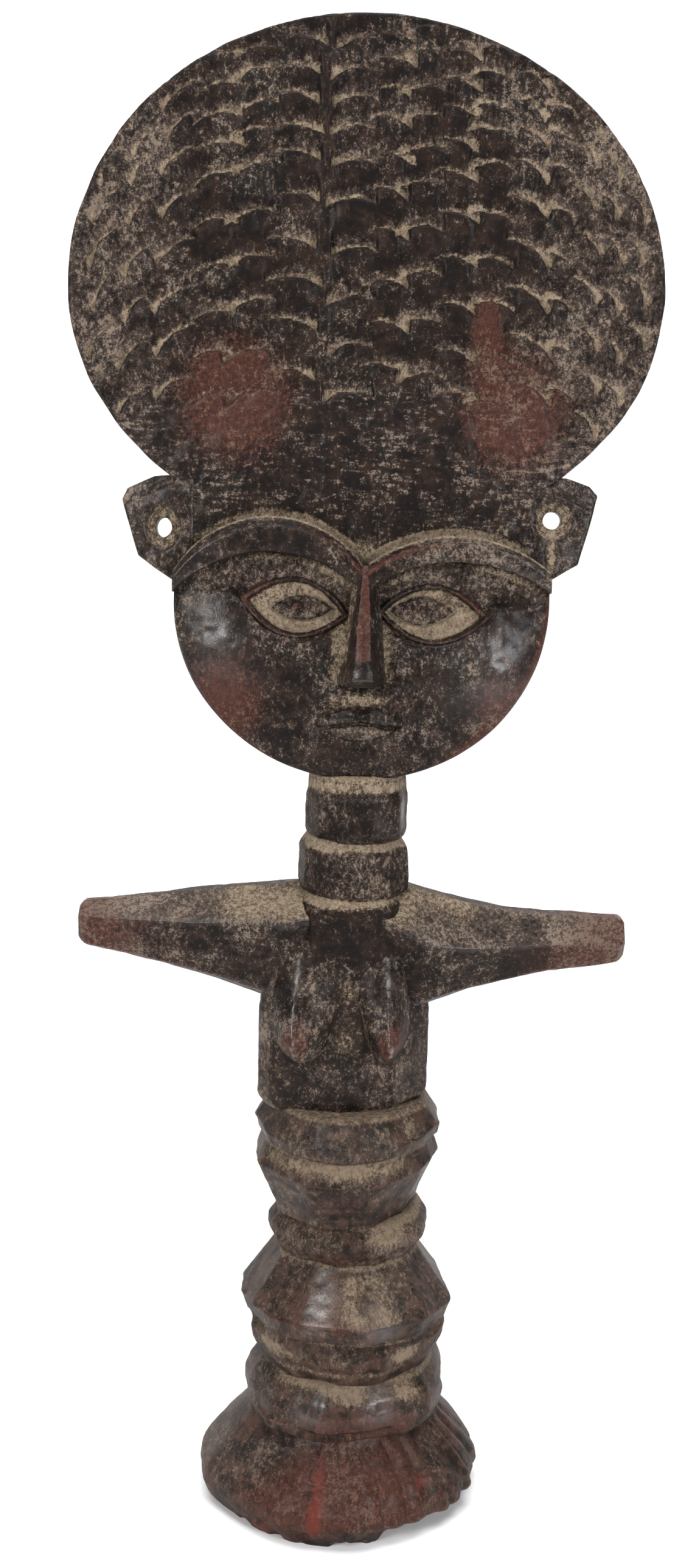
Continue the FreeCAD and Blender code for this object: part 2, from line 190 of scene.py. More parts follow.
def surface_net(values, origin, step):
    """Quads round the zero level of a block of values, negative inside."""
    inside = values < 0.0
    nx, ny, nz = values.shape
    count = np.zeros((nx - 1, ny - 1, nz - 1), dtype=np.int8)
    for i, j, k in CORNERS:
        count += inside[i:nx - 1 + i, j:ny - 1 + j, k:nz - 1 + k]
    active = (count > 0) & (count < 8)
    cells = np.argwhere(active)
    number = np.full(active.shape, -1, dtype=np.int64)
    number[active] = np.arange(len(cells))
    place = np.zeros((len(cells), 3))
    hits = np.zeros(len(cells))
    for a in CORNERS:
        for b in CORNERS:
            if sum(b) - sum(a) != 1 or sum(abs(p - q) for p, q in zip(a, b)) != 1:
                continue
            va = values[cells[:, 0] + a[0], cells[:, 1] + a[1], cells[:, 2] + a[2]]
            vb = values[cells[:, 0] + b[0], cells[:, 1] + b[1], cells[:, 2] + b[2]]
            crossed = (va < 0.0) != (vb < 0.0)
            t = np.where(crossed, va / np.where(crossed, va - vb, 1.0), 0.0)
            for axis in range(3):
                place[:, axis] += np.where(crossed, a[axis] + t * (b[axis] - a[axis]), 0.0)
            hits += crossed
    vertices = (cells + place / hits[:, None]) * step + np.asarray(origin)
    quads = []
    for axis in range(3):
        low = [slice(1, -1)] * 3
        low[axis] = slice(0, -1)
        high = list(low)
        high[axis] = slice(1, None)
        first, second = inside[tuple(low)], inside[tuple(high)]
        other = [n for n in range(3) if n != axis]
        for flip, found in ((False, first & ~second), (True, ~first & second)):
            at = np.argwhere(found)
            at[:, other[0]] += 1
            at[:, other[1]] += 1
            ring = []
            for du, dv in ((-1, -1), (0, -1), (0, 0), (-1, 0)):
                cell = at.copy()
                cell[:, other[0]] += du
                cell[:, other[1]] += dv
                ring.append(number[cell[:, 0], cell[:, 1], cell[:, 2]])
            if flip != (axis == 1):
                ring.reverse()
            quads.append(np.stack(ring, axis=1))
    return vertices, np.concatenate(quads)


def relief(box, step, outline, front, back, rounding):
    """Flat-lying carved piece: an outline with a front and a back height."""
    (x0, y0, d0), (x1, y1, d1) = box
    xs = np.arange(x0, x1 + step, step)
    ys = np.arange(y0, y1 + step, step)
    ds = np.arange(d0, d1 + step, step)
    gx, gy = np.meshgrid(xs, ys, indexing="ij")
    side = outline(gx, gy)[:, :, None].astype(np.float32)
    top = front(gx, gy)[:, :, None].astype(np.float32)
    bottom = back(gx, gy)[:, :, None].astype(np.float32)
    depth = ds[None, None, :].astype(np.float32)
    body = smooth_max(depth - top, bottom - depth, rounding)
    body = smooth_max(body, side, rounding)
    return surface_net(body, (x0, y0, d0), step)


def stand_head(points):
    """Flat-lying head points to their place on the neck."""
    angle = math.pi / 2 - HEAD_TILT
    c, s = math.cos(angle), math.sin(angle)
    x, y, z = points[:, 0], points[:, 1], points[:, 2]
    return np.stack([x, y * c - z * s, y * s + z * c + CHIN_Z], axis=1)


def stand_body(points):
    """Flat-lying points (x, up, depth towards the front) to the upright body."""
    return np.stack([points[:, 0], -points[:, 2], points[:, 1]], axis=1)


def spin_grid(levels, ring):
    """Closed skin over stacked hoops: quads between them, a fan over each end."""
    quads = []
    around = np.arange(ring)
    after = (around + 1) % ring
    for level in range(levels - 1):
        low, high = level * ring, (level + 1) * ring
        quads.append(np.stack([low + around, low + after, high + after, high + around], axis=1))
    last = (levels - 1) * ring
    middle_low, middle_high = levels * ring, levels * ring + 1
    fan_low = np.stack([after, around, np.full(ring, middle_low)], axis=1)
    fan_high = np.stack([last + around, last + after, np.full(ring, middle_high)], axis=1)
    return np.concatenate(quads), np.concatenate([fan_low, fan_high])


def flats_reach(angle, flats, sharp):
    """Reach at each angle of a many-sided section; flats are (angle, distance)."""
    total = 0.0
    for turn, distance in flats:
        lean = np.maximum(np.cos(angle - turn), 0.0) / distance
        total = total + lean ** sharp
    return total ** (-1.0 / sharp)


# ---- wear masks from the shape itself ---------------------------------------
def hollowness(vertices, faces, rounds):
    """How far each vertex lies below (+) or above (-) its smoothed surroundings."""
    sides = np.concatenate([faces, faces[:, :1]], axis=1)
    a = sides[:, :-1].ravel()
    b = sides[:, 1:].ravel()
    count = np.bincount(a, minlength=len(vertices)) + np.bincount(b, minlength=len(vertices))
    count = np.maximum(count, 1)
    smooth = vertices.copy()
    for _ in range(rounds):
        for axis in range(3):
            total = np.bincount(a, smooth[b, axis], len(vertices))
            total += np.bincount(b, smooth[a, axis], len(vertices))
            smooth[:, axis] = 0.4 * smooth[:, axis] + 0.6 * total / count
    normal = np.zeros_like(vertices)
    p = vertices[faces]
    across = np.cross(p[:, 2] - p[:, 0], p[:, -1] - p[:, 1])
    for corner in range(faces.shape[1]):
        for axis in range(3):
            normal[:, axis] += np.bincount(faces[:, corner], across[:, axis], len(vertices))
    normal /= np.maximum(np.linalg.norm(normal, axis=1, keepdims=True), 1e-12)
    return ((smooth - vertices) * normal).sum(axis=1), normal


def make_object(name, vertices, faces, slot, nodes, masks, triangles=None):
    """One shown piece from millimetre vertices, with its masks and material."""
    mesh = bpy.data.meshes.new(name)
    loops = faces.ravel()
    starts = np.arange(len(faces)) * faces.shape[1]
    sizes = np.full(len(faces), faces.shape[1])
    if triangles is not None:
        starts = np.concatenate([starts, len(loops) + np.arange(len(triangles)) * 3])
        sizes = np.concatenate([sizes, np.full(len(triangles), 3)])
        loops = np.concatenate([loops, triangles.ravel()])
    mesh.vertices.add(len(vertices))
    mesh.vertices.foreach_set("co", (vertices * MM).astype(np.float32).ravel())
    mesh.loops.add(len(loops))
    mesh.loops.foreach_set("vertex_index", loops.astype(np.int32))
    mesh.polygons.add(len(starts))
    mesh.polygons.foreach_set("loop_start", starts.astype(np.int32))
    mesh.polygons.foreach_set("loop_total", sizes.astype(np.int32))
    mesh.update(calc_edges=True)
    mesh.validate()
    mesh.shade_smooth()
    for mask, values in masks.items():
        layer = mesh.attributes.new(mask, "FLOAT", "POINT")
        layer.data.foreach_set("value", np.clip(values, 0.0, 1.0).astype(np.float32))
    piece = bpy.data.objects.new(name, mesh)
    bpy.context.scene.collection.objects.link(piece)
    mesh.materials.append(MATERIALS[slot])
    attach(piece, "root")
    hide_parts(*nodes)


# ---- material ---------------------------------------------------------------
class Nodes:
    """Short words for building one material's nodes."""

    def __init__(self, name):
        self.material = bpy.data.materials.new(name)
        self.material.use_nodes = True
        self.tree = self.material.node_tree
        self.shader = self.tree.nodes["Principled BSDF"]
        place = self.tree.nodes.new("ShaderNodeTexCoord")
        self.place = place.outputs["Object"]

    def link(self, source, target):
        self.tree.links.new(source, target)

    def feed(self, socket, value):
        if isinstance(value, bpy.types.NodeSocket):
            self.link(value, socket)
        else:
            socket.default_value = value

    def math(self, kind, a, b, clamp=False):
        node = self.tree.nodes.new("ShaderNodeMath")
        node.operation = kind
        node.use_clamp = clamp
        for socket, value in zip(node.inputs, (a, b)):
            self.feed(socket, value)
        return node.outputs[0]

    def add(self, a, *others):
        for b in others:
            a = self.math("ADD", a, b)
        return a

    def times(self, a, b, clamp=False):
        return self.math("MULTIPLY", a, b, clamp)

    def swing(self, value, amount):
        """Noise from 0 to 1 turned into a swing about nothing."""
        return self.times(self.math("SUBTRACT", value, 0.5), amount)

    def stretch(self, scale):
        node = self.tree.nodes.new("ShaderNodeMapping")
        node.inputs["Scale"].default_value = scale
        self.link(self.place, node.inputs["Vector"])
        return node.outputs[0]

    def lumps(self, size_mm, detail=3.0, rough=0.6, stretch=None, warp=0.0):
        """Noise from 0 to 1 with lumps of about this size."""
        node = self.tree.nodes.new("ShaderNodeTexNoise")
        node.inputs["Scale"].default_value = 1000.0 / size_mm
        node.inputs["Detail"].default_value = detail
        node.inputs["Roughness"].default_value = rough
        node.inputs["Distortion"].default_value = warp
        self.link(self.stretch(stretch) if stretch else self.place, node.inputs["Vector"])
        return node.outputs["Fac"]

    def mask(self, name):
        node = self.tree.nodes.new("ShaderNodeAttribute")
        node.attribute_name = name
        return node.outputs["Fac"]

    def ramp(self, value, low, high, to_low=0.0, to_high=1.0):
        node = self.tree.nodes.new("ShaderNodeMapRange")
        node.interpolation_type = "SMOOTHSTEP"
        self.feed(node.inputs["Value"], value)
        node.inputs["From Min"].default_value = low
        node.inputs["From Max"].default_value = high
        node.inputs["To Min"].default_value = to_low
        node.inputs["To Max"].default_value = to_high
        return node.outputs["Result"]

    def mix(self, amount, a, b):
        node = self.tree.nodes.new("ShaderNodeMix")
        node.data_type = "RGBA"
        self.feed(node.inputs["Factor"], amount)
        for socket, value in ((node.inputs[6], a), (node.inputs[7], b)):
            self.feed(socket, value if isinstance(value, bpy.types.NodeSocket) else (*value, 1.0))
        return node.outputs[2]

    def bump(self, height, distance_mm, normal=None):
        node = self.tree.nodes.new("ShaderNodeBump")
        node.inputs["Distance"].default_value = distance_mm * MM
        self.feed(node.inputs["Height"], height)
        if normal is not None:
            self.link(normal, node.inputs["Normal"])
        return node.outputs["Normal"]


# linear colours
BLACK = (0.0085, 0.0060, 0.0052)
BROWN = (0.028, 0.0155, 0.0110)
GREENISH = (0.0125, 0.0140, 0.0120)
# the two pale dust colours below also paint grey sheen, on the hair disc's sides and on the right brow's
# outer half
DUST_AND_SHEEN = (0.275, 0.212, 0.165)
DUST_AND_SHEEN_DARK = (0.074, 0.054, 0.044)
RED = (0.112, 0.042, 0.029)
RED_BROWN = (0.052, 0.0225, 0.0160)
CHALK = (0.38, 0.300, 0.210)
CHALK_DARK = (0.155, 0.113, 0.078)
PIGMENT = (0.150, 0.034, 0.024)
VARNISH_DARK = (0.0150, 0.0108, 0.0088)
VARNISH_BROWN = (0.080, 0.044, 0.032)
CLAY_BROWN = (0.27, 0.205, 0.145)

# sizes of the lumps of colour and grain, millimetres
BLOTCH_SIZE = 12.0
PATCH_SIZE = 4.0
FLECK_SIZE = 0.95
SPECK_SIZE = 0.36
FIBRE_SIZE = 0.6
HATCH_SIZE = 0.8
WOOD_SPECULAR = 0.08
COAT_ROUGHNESS = 0.16
COAT_IOR = 1.5


def carved_wood(name, dust_and_sheen, grain=(1.0, 1.0, 0.75), dark=BLACK, brown=BROWN, pale=CHALK):
    """Blackened carved wood: grain under a pale dust film, rubbed red-brown spots, pale clay in the cuts,
    thin gloss; the dust film also serves as painted grey sheen where the dust mask is raised for it.
    """
    n = Nodes(name)
    blotch = n.lumps(BLOTCH_SIZE, 4.0, 0.6)
    patch = n.lumps(PATCH_SIZE, 4.0, 0.65, warp=0.4)
    fleck = n.lumps(FLECK_SIZE, 5.0, 0.75, grain)
    speck = n.lumps(SPECK_SIZE, 3.0, 0.7)
    fibre = n.lumps(FIBRE_SIZE, 3.0, 0.6, (1.0, 1.0, 0.12))
    hatch = n.lumps(HATCH_SIZE, 3.0, 0.65, (0.22, 1.0, 1.0))
    mottle = n.add(n.times(fleck, 0.60), n.times(speck, 0.40))

    base = n.mix(n.ramp(patch, 0.38, 0.66), dark, brown)
    base = n.mix(n.ramp(blotch, 0.52, 0.66, 0.0, 0.6), base, GREENISH)

    # the pale film below is real dust, and where the dust mask is raised for it, it is painted grey sheen
    dust_and_sheen_level = n.add(mottle, n.swing(blotch, 0.30), n.times(n.mask("dust_and_sheen"), 0.10))
    streaky = n.times(n.math("SUBTRACT", hatch, 0.5), n.mask("streak"))
    dust_and_sheen_level = n.add(dust_and_sheen_level, n.times(streaky, 0.45), n.swing(patch, 0.22))
    filmed = n.add(dust_and_sheen_level, n.times(n.mask("dust_and_sheen"), 0.10))
    thin = n.times(n.ramp(filmed, 0.500, 0.63), dust_and_sheen)
    thick = n.times(n.ramp(dust_and_sheen_level, 0.570, 0.640), dust_and_sheen)
    colour = n.mix(thin, base, DUST_AND_SHEEN_DARK)
    colour = n.mix(thick, colour, DUST_AND_SHEEN)

    unsure = n.swing(mottle, 2.2)
    red = n.mix(n.ramp(mottle, 0.42, 0.60), RED_BROWN, RED)
    worn = n.ramp(n.add(n.mask("wear"), unsure), 0.26, 0.80, 0.0, 0.88)
    colour = n.mix(worn, colour, red)
    colour = n.mix(n.times(n.times(thick, worn), 0.45), colour, DUST_AND_SHEEN)

    pigment = n.ramp(n.add(n.mask("pigment"), unsure), 0.36, 0.80, 0.0, 0.85)
    colour = n.mix(pigment, colour, PIGMENT)

    clay = n.mix(n.ramp(mottle, 0.40, 0.58), CHALK_DARK, pale)
    packed = n.add(n.mask("chalk"), n.swing(mottle, 2.6))
    smear = n.ramp(packed, 0.18, 0.62, 0.0, 0.6)
    colour = n.mix(smear, colour, CHALK_DARK)
    packed = n.ramp(packed, 0.46, 0.80, 0.0, 0.92)
    colour = n.mix(packed, colour, clay)
    n.link(colour, n.shader.inputs["Base Color"])

    n.link(n.ramp(dust_and_sheen_level, 0.40, 0.66, 0.50, 0.85), n.shader.inputs["Roughness"])
    n.shader.inputs["Specular IOR Level"].default_value = WOOD_SPECULAR
    covered = n.add(n.times(thick, 0.6), n.times(smear, 1.4))
    polish = n.times(n.mask("shine"), n.math("SUBTRACT", 1.0, covered, clamp=True), clamp=True)
    n.link(polish, n.shader.inputs["Coat Weight"])
    n.shader.inputs["Coat Roughness"].default_value = COAT_ROUGHNESS
    n.shader.inputs["Coat IOR"].default_value = COAT_IOR

    normal = n.bump(fleck, 0.70)
    normal = n.bump(fibre, 0.12, normal)
    normal = n.bump(speck, 0.30, normal)
    n.link(normal, n.shader.inputs["Normal"])
    n.link(n.bump(speck, 0.035, n.bump(fleck, 0.07)), n.shader.inputs["Coat Normal"])
    return n.material


MATERIALS = {
    "dark_wood": carved_wood("carved_dark_wood", 0.80),
    "hair_wood": carved_wood("carved_hair_wood", 0.85, (1.0, 1.0, 0.7)),
    "worn_wood": carved_wood("carved_worn_wood", 0.85),
    "raw_wood": carved_wood(
        "carved_raw_wood", 0.50, (1.0, 1.0, 0.45), VARNISH_DARK, VARNISH_BROWN, CLAY_BROWN,
    ),
}


# ---- hair disc --------------------------------------------------------------
# edges of the plaits across the disc; the narrow one left of the middle stays plain
PLAITS = (-60.5, -45.0, -28.9, -11.8, -6.8, 7.9, 22.8, 39.0, 50.0, 60.5)
PLAIN_PLAIT = 3
HAIR_FROM = 83.5
ROW_LOW = 9.6
ROW_HIGH = 6.2


def plait_lean(x, y):
    """Plaits draw together a little towards the top."""
    return x * (1.0 - 0.035 * (y - 100.0) / 60.0)


def hair_cuts():
    """Place, turn, half width, depth and lower end of every gouge cut on one flat side.

    Each plait is two cuts wide, and its two files of cuts are half a row out of step.
    Towards the sides the cuts droop and fan outwards; rows close up towards the top.
    """
    rng = np.random.default_rng(11)
    cuts = []
    for index, (left, right) in enumerate(zip(PLAITS, PLAITS[1:])):
        if index == PLAIN_PLAIT:
            continue
        for side in (0, 1):
            x = left + (right - left) * (0.25 + 0.5 * side)
            half = (right - left) / 4 + 0.9
            y = HAIR_FROM - 10.0 * (abs(x) / 60.0) ** 2.2 + 4.6 * ((index + side) % 2)
            while y < 164.0:
                px = plait_lean(x, y) + rng.uniform(-0.5, 0.5)
                py = y + rng.uniform(-0.8, 0.8)
                turn = -math.radians(52.0) * math.copysign(max(abs(x) - 18.0, 0.0) / 40.0, x)
                turn += rng.uniform(-0.09, 0.09)
                depth = 1.45 + rng.uniform(-0.35, 0.35)
                outer = 2 * side - 1 if abs(x) < 42.0 else math.copysign(1.0, x)
                cuts.append((px, py, turn, half * rng.uniform(0.92, 1.15), depth, outer))
                y += np.interp(y, (118.0, 134.0), (ROW_LOW, ROW_HIGH)) * rng.uniform(0.92, 1.08)
    return cuts


def scallops(gx, gy):
    """Depth of the hair's gouge cuts over a grid, and where clay collects in them."""
    depth = np.zeros_like(gx)
    clay = np.zeros_like(gx)
    xs, ys = gx[:, 0], gy[0, :]
    for px, py, turn, half, deep, outer in hair_cuts():
        i0, i1 = np.searchsorted(xs, (px - 11.0, px + 11.0))
        j0, j1 = np.searchsorted(ys, (py - 11.0, py + 11.0))
        if i1 - i0 < 2 or j1 - j0 < 2:
            continue
        wx, wy = gx[i0:i1, j0:j1] - px, gy[i0:i1, j0:j1] - py
        c, s = math.cos(turn), math.sin(turn)
        u = (wx * c + wy * s) / half
        v = wy * c - wx * s
        v = v + 0.35 * noise_flat(wx + px, wy + py, 2.6, 12)
        arch = v + 1.5 * u * u + 0.55 * outer * u - 0.8
        run_out = 6.8 - 1.2 * u * u
        slope = np.clip(1.0 - arch / run_out, 0.0, 1.0)
        ends = smooth_step(1.12 - np.abs(u), 0.0, 0.14)
        corner = 0.80 + 0.25 * u * u + 0.25 * outer * u
        cut = deep * corner * slope ** 1.2 * ends * smooth_step(arch, -0.22, 0.16)
        low_end = outer * u
        line = np.exp(-((arch - 0.40) / 0.52) ** 2) * (0.66 + 0.25 * low_end)
        wedge_end = 0.9 + 2.6 * np.clip(low_end, 0.0, 1.0)
        wedge = smooth_step(arch, -0.2, 0.2) * smooth_step(arch, wedge_end, 0.4)
        packed = ends * np.maximum(line, 1.05 * wedge * smooth_step(low_end, 0.10, 0.75))
        here, clay_here = depth[i0:i1, j0:j1], clay[i0:i1, j0:j1]
        deeper = cut > here
        clay_here[deeper] = packed[deeper]
        here[deeper] = cut[deeper]
    return depth, clay


def sample(grid, gx, gy, x, y):
    """Nearest value of a grid at scattered points."""
    step = gx[1, 0] - gx[0, 0]
    i = np.clip(np.rint((x - gx[0, 0]) / step).astype(int), 0, gx.shape[0] - 1)
    j = np.clip(np.rint((y - gy[0, 0]) / step).astype(int), 0, gx.shape[1] - 1)
    return grid[i, j]


def disc_outline(x, y):
    up = y - DISC_CENTRE_UP
    wander = layers(x, y, (0.22, 17.0, 5), (0.12, 5.0, 6))
    upper = ellipse_distance(x, up, DISC_HALF_WIDTH, DISC_RISE)
    lower = ellipse_distance(x, up, DISC_HALF_WIDTH, DISC_DROP)
    disc = np.where(up > 0.0, upper, lower) + wander + 0.15
    core = np.maximum(np.abs(x) - CORE_HALF_WIDTH, np.maximum(34.0 - y, y - 80.0))
    return np.minimum(disc, core)


def brow_line(x, left, right):
    return np.where(x < 0.9, arc_height(np.minimum(x, 0.9), left), arc_height(np.maximum(x, 0.9), right))


def partings(gx, gy):
    """Shallow knife lines between the plaits."""
    lines = np.zeros_like(gx)
    for index, edge in enumerate(PLAITS[2:-2]):
        wander = plait_lean(edge, gy) + 0.5 * noise_flat(gy, np.zeros_like(gy), 9.0, 60 + index)
        line = np.exp(-((gx - wander) / 0.55) ** 2) * smooth_step(gy, 84.0, 89.0)
        kept = smooth_step(noise_flat(gx, gy, 7.0, 70 + index), -0.4, 0.3)
        lines = np.maximum(lines, line * (0.5 + 0.5 * kept))
    return lines


def make_disc():
    step = 0.45
    box = ((-65.5, 33.0, -10.5), (65.5, 165.5, 9.5))
    xs = np.arange(box[0][0], box[1][0] + step, step)
    ys = np.arange(box[0][1], box[1][1] + step, step)
    gx, gy = np.meshgrid(xs, ys, indexing="ij")
    cuts, clay = scallops(gx, gy)
    parting = partings(gx, gy)
    up = gy - DISC_CENTRE_UP
    reach = np.hypot(gx / DISC_HALF_WIDTH, up / np.where(up > 0, DISC_RISE, DISC_DROP))
    inner = smooth_step(1.03 - reach, 0.0, 0.09)
    dome = 1.3 * np.clip(reach, 0, 1) ** 3
    tool = layers(gx, gy, (0.24, 7.0, 21), (0.14, 2.8, 22), (0.10, 1.3, 23))
    cuts = cuts * inner
    clay = clay * inner
    above_brow = gy - brow_line(gx, BROW_LEFT_UPPER, BROW_RIGHT_UPPER)
    furrow = 0.8 * np.exp(-(above_brow / 1.2) ** 2)
    below = smooth_step(above_brow, -0.5, -2.5)
    front = DISC_FRONT - dome - cuts - 0.6 * parting * inner + tool - furrow - 5.0 * below
    back_dome = 1.6 * np.clip(reach, 0, 1) ** 3
    nape = smooth_step(gy, HAIRLINE_BACK + 0.6, HAIRLINE_BACK - 0.6)
    back_cuts, back_clay = cuts[::-1, :], clay[::-1, :]
    back = DISC_BACK + back_dome + back_cuts + 0.5 * parting[::-1, :] * inner + tool[::-1, :] + 5.0 * nape

    def held(grid):
        return lambda x, y: grid

    vertices, faces = relief(box, step, disc_outline, held(front), held(back), 1.0)
    hollow, normal = hollowness(vertices, faces, 7)
    x, y, _ = vertices.T
    is_front = smooth_step(normal[:, 2], -0.2, 0.3)
    is_back = smooth_step(-normal[:, 2], -0.2, 0.3)
    rubbed = red_patches(x, y) * is_front
    cut_here = is_front * sample(cuts, gx, gy, x, y) + is_back * sample(back_cuts, gx, gy, x, y)
    packed = is_front * sample(clay, gx, gy, x, y) + is_back * sample(back_clay, gx, gy, x, y)
    chalk = packed * (0.80 + 0.20 * smooth_step(x, 15.0, 50.0)) + sunk(hollow, 0.8, 0.2)
    chalk -= 0.30 * smooth_step(y, 150.0, 162.0)
    over_brow = y - brow_line(x, BROW_LEFT_UPPER, BROW_RIGHT_UPPER)
    inner_half = 0.55 + 0.6 * blob(x, y, 6.0, 50.0, 22.0, 9.0)
    chalk += inner_half * is_front * smooth_step(np.abs(over_brow - 0.5), 1.9, 0.7)
    chalk += 0.6 * is_front * blob(x, y, 1.2, 49.8, 5.0, 3.8)
    chalk *= 1.0 - 0.8 * np.clip(rubbed - 0.3, 0.0, 1.0)
    wear = rubbed + is_back * blobs(x, y, (0.5, -18.0, 92.0, 16.0, 12.0), (0.4, 24.0, 84.0, 12.0, 9.0))
    wear += proud(hollow, 0.8, 0.12)
    in_hair = smooth_step(y - 84.0 + 9.0 * (x / 60.0) ** 2, -2.0, 3.0)
    dust_and_sheen = 0.70 * smooth_step(cut_here, 0.5, 1.4)
    # the extra dust on both sides of the disc is painted grey sheen; the dust in the deep cuts is real dust
    dust_and_sheen += 0.38 * smooth_step(x, 20.0, 54.0) + 0.34 * smooth_step(-x, 26.0, 56.0)
    dust_and_sheen += 0.35 * is_front * blob(x, y, 34.0, 74.0, 12.0, 12.0)
    streak = (1.0 - in_hair) * is_front
    shine = 0.22 - 0.14 * in_hair
    masks = {"chalk": chalk, "wear": wear, "dust_and_sheen": dust_and_sheen, "streak": streak, "shine": shine}
    make_object("hair_disc", stand_head(vertices), faces, "hair_wood", ["head_disc"], masks)


def red_patches(x, y):
    """Where the front of the disc is rubbed down to red-brown wood."""
    left = (1.0, -27.5, 82.0, 12.5, 13.0)
    right = (0.95, 32.5, 79.5, 11.5, 12.5)
    strip = (0.85, 26.0, 97.0, 3.4, 9.0)
    return np.clip(1.15 * blobs(x, y, left, right, strip), 0.0, 1.0)


# ---- face -------------------------------------------------------------------
def lens(x, y, shape):
    """0 at the middle of a slanted pointed oval and 1 on its edge."""
    (ox, oy), (ix, iy), rise, drop = shape
    cx, cy = (ox + ix) / 2, (oy + iy) / 2
    half = math.hypot(ox - ix, oy - iy) / 2
    ax, ay = abs(ox - ix) / 2 / half, (oy - iy) / 2 / half * math.copysign(1.0, ox - ix)
    along = ((x - cx) * ax + (y - cy) * ay) / half
    over = (y - cy) * ax - (x - cx) * ay
    a = np.abs(over) / np.where(over > 0.0, rise, drop)
    return 0.5 * (a + np.sqrt(a * a + 4.0 * along * along))


def jaw_distance(x, y):
    shifted = x - FACE_X
    jaw = ellipse_distance(shifted, y - FACE_DROP, FACE_HALF_WIDTH, FACE_DROP)
    return np.where(y < FACE_DROP, jaw, np.abs(shifted) - FACE_HALF_WIDTH)


def face_outline(x, y):
    body = np.maximum(jaw_distance(x, y), y - HAIRLINE_BACK)
    over_brow = y - brow_line(x, BROW_LEFT_UPPER, BROW_RIGHT_UPPER) + 0.6
    narrow = np.maximum(np.abs(x) - CORE_HALF_WIDTH + 0.4, body)
    masked = np.where(over_brow > 0.0, narrow, body)
    return masked + 0.12 * noise_flat(x, y, 11.0, 8) + 0.1


def cheek_top(x):
    """Lower edge of the eye hollows, curving up to the brows at the sides."""
    left = np.minimum(30.6 + 0.038 * (x + 11.0) ** 2, 40.8)
    right = np.minimum(30.2 + np.where(x > 16.0, 0.050, 0.020) * (x - 16.0) ** 2, 38.6)
    return np.where(x < 1.0, left, right)


def face_height(x, y):
    """Carved front of the face before the features are added."""
    rr = np.hypot((x - FACE_X) / FACE_HALF_WIDTH, np.minimum(y - FACE_DROP, 0.0) / FACE_DROP)
    height = 12.3 - 1.3 * rr ** 2 - 2.3 * rr ** 7
    cheeks = ((1.6, -27.5, 27.5, 10.5, 8.5), (1.8, 27.0, 24.0, 10.5, 8.5))
    chin, round_lips = (0.8, 0.5, 5.5, 12.0, 4.5), (0.7, 0.6, 12.4, 12.5, 6.0)
    height += blobs(x, y, *cheeks, chin, round_lips)
    brow = brow_line(x, BROW_LEFT_LOWER, BROW_RIGHT_LOWER)
    low = cheek_top(x)
    hollow = smooth_step(y, low - 1.0, low + 1.4) * smooth_step(y, brow + 3.0, brow + 1.0)
    height -= 2.2 * hollow * (0.12 + 0.88 * smooth_step(np.abs(x - 1.0), 39.0, 26.0))
    beside = np.abs(x - 0.8)
    trough = smooth_step(beside, 10.0, 5.5) * smooth_step(y, 18.0, 22.0) * smooth_step(y, 45.0, 37.0)
    height -= 1.5 * trough
    lip_corners = ((0.8, -10.4, 12.2, 2.2, 2.2), (0.8, 11.8, 12.8, 2.2, 2.2))
    over_lip, under_lip = (0.9, 0.9, 18.2, 7.0, 1.7), (0.5, 1.0, 7.9, 7.0, 1.2)
    return height - blobs(x, y, over_lip, *lip_corners, under_lip)


def face_front(x, y):
    height = face_height(x, y) + layers(x, y, (0.20, 6.0, 31), (0.12, 2.4, 32), (0.06, 1.1, 33))
    for eye in (EYE_LEFT, EYE_RIGHT):
        height -= 1.4 * smooth_step(lens(x, y, eye), 0.99, 0.93)
    height -= 1.4 * smooth_step(lens(x, y, LIPS), 0.99, 0.90)
    notch = y - 38.9 + 0.88 * (x + 26.0)
    run = smooth_step(np.abs(x + 23.0), 4.4, 3.0)
    lip = 0.55 * np.exp(-((notch - 0.5) / 0.8) ** 2)
    cut = 0.75 * np.exp(-((notch + 0.6) / 0.5) ** 2)
    return height + (lip - cut) * run


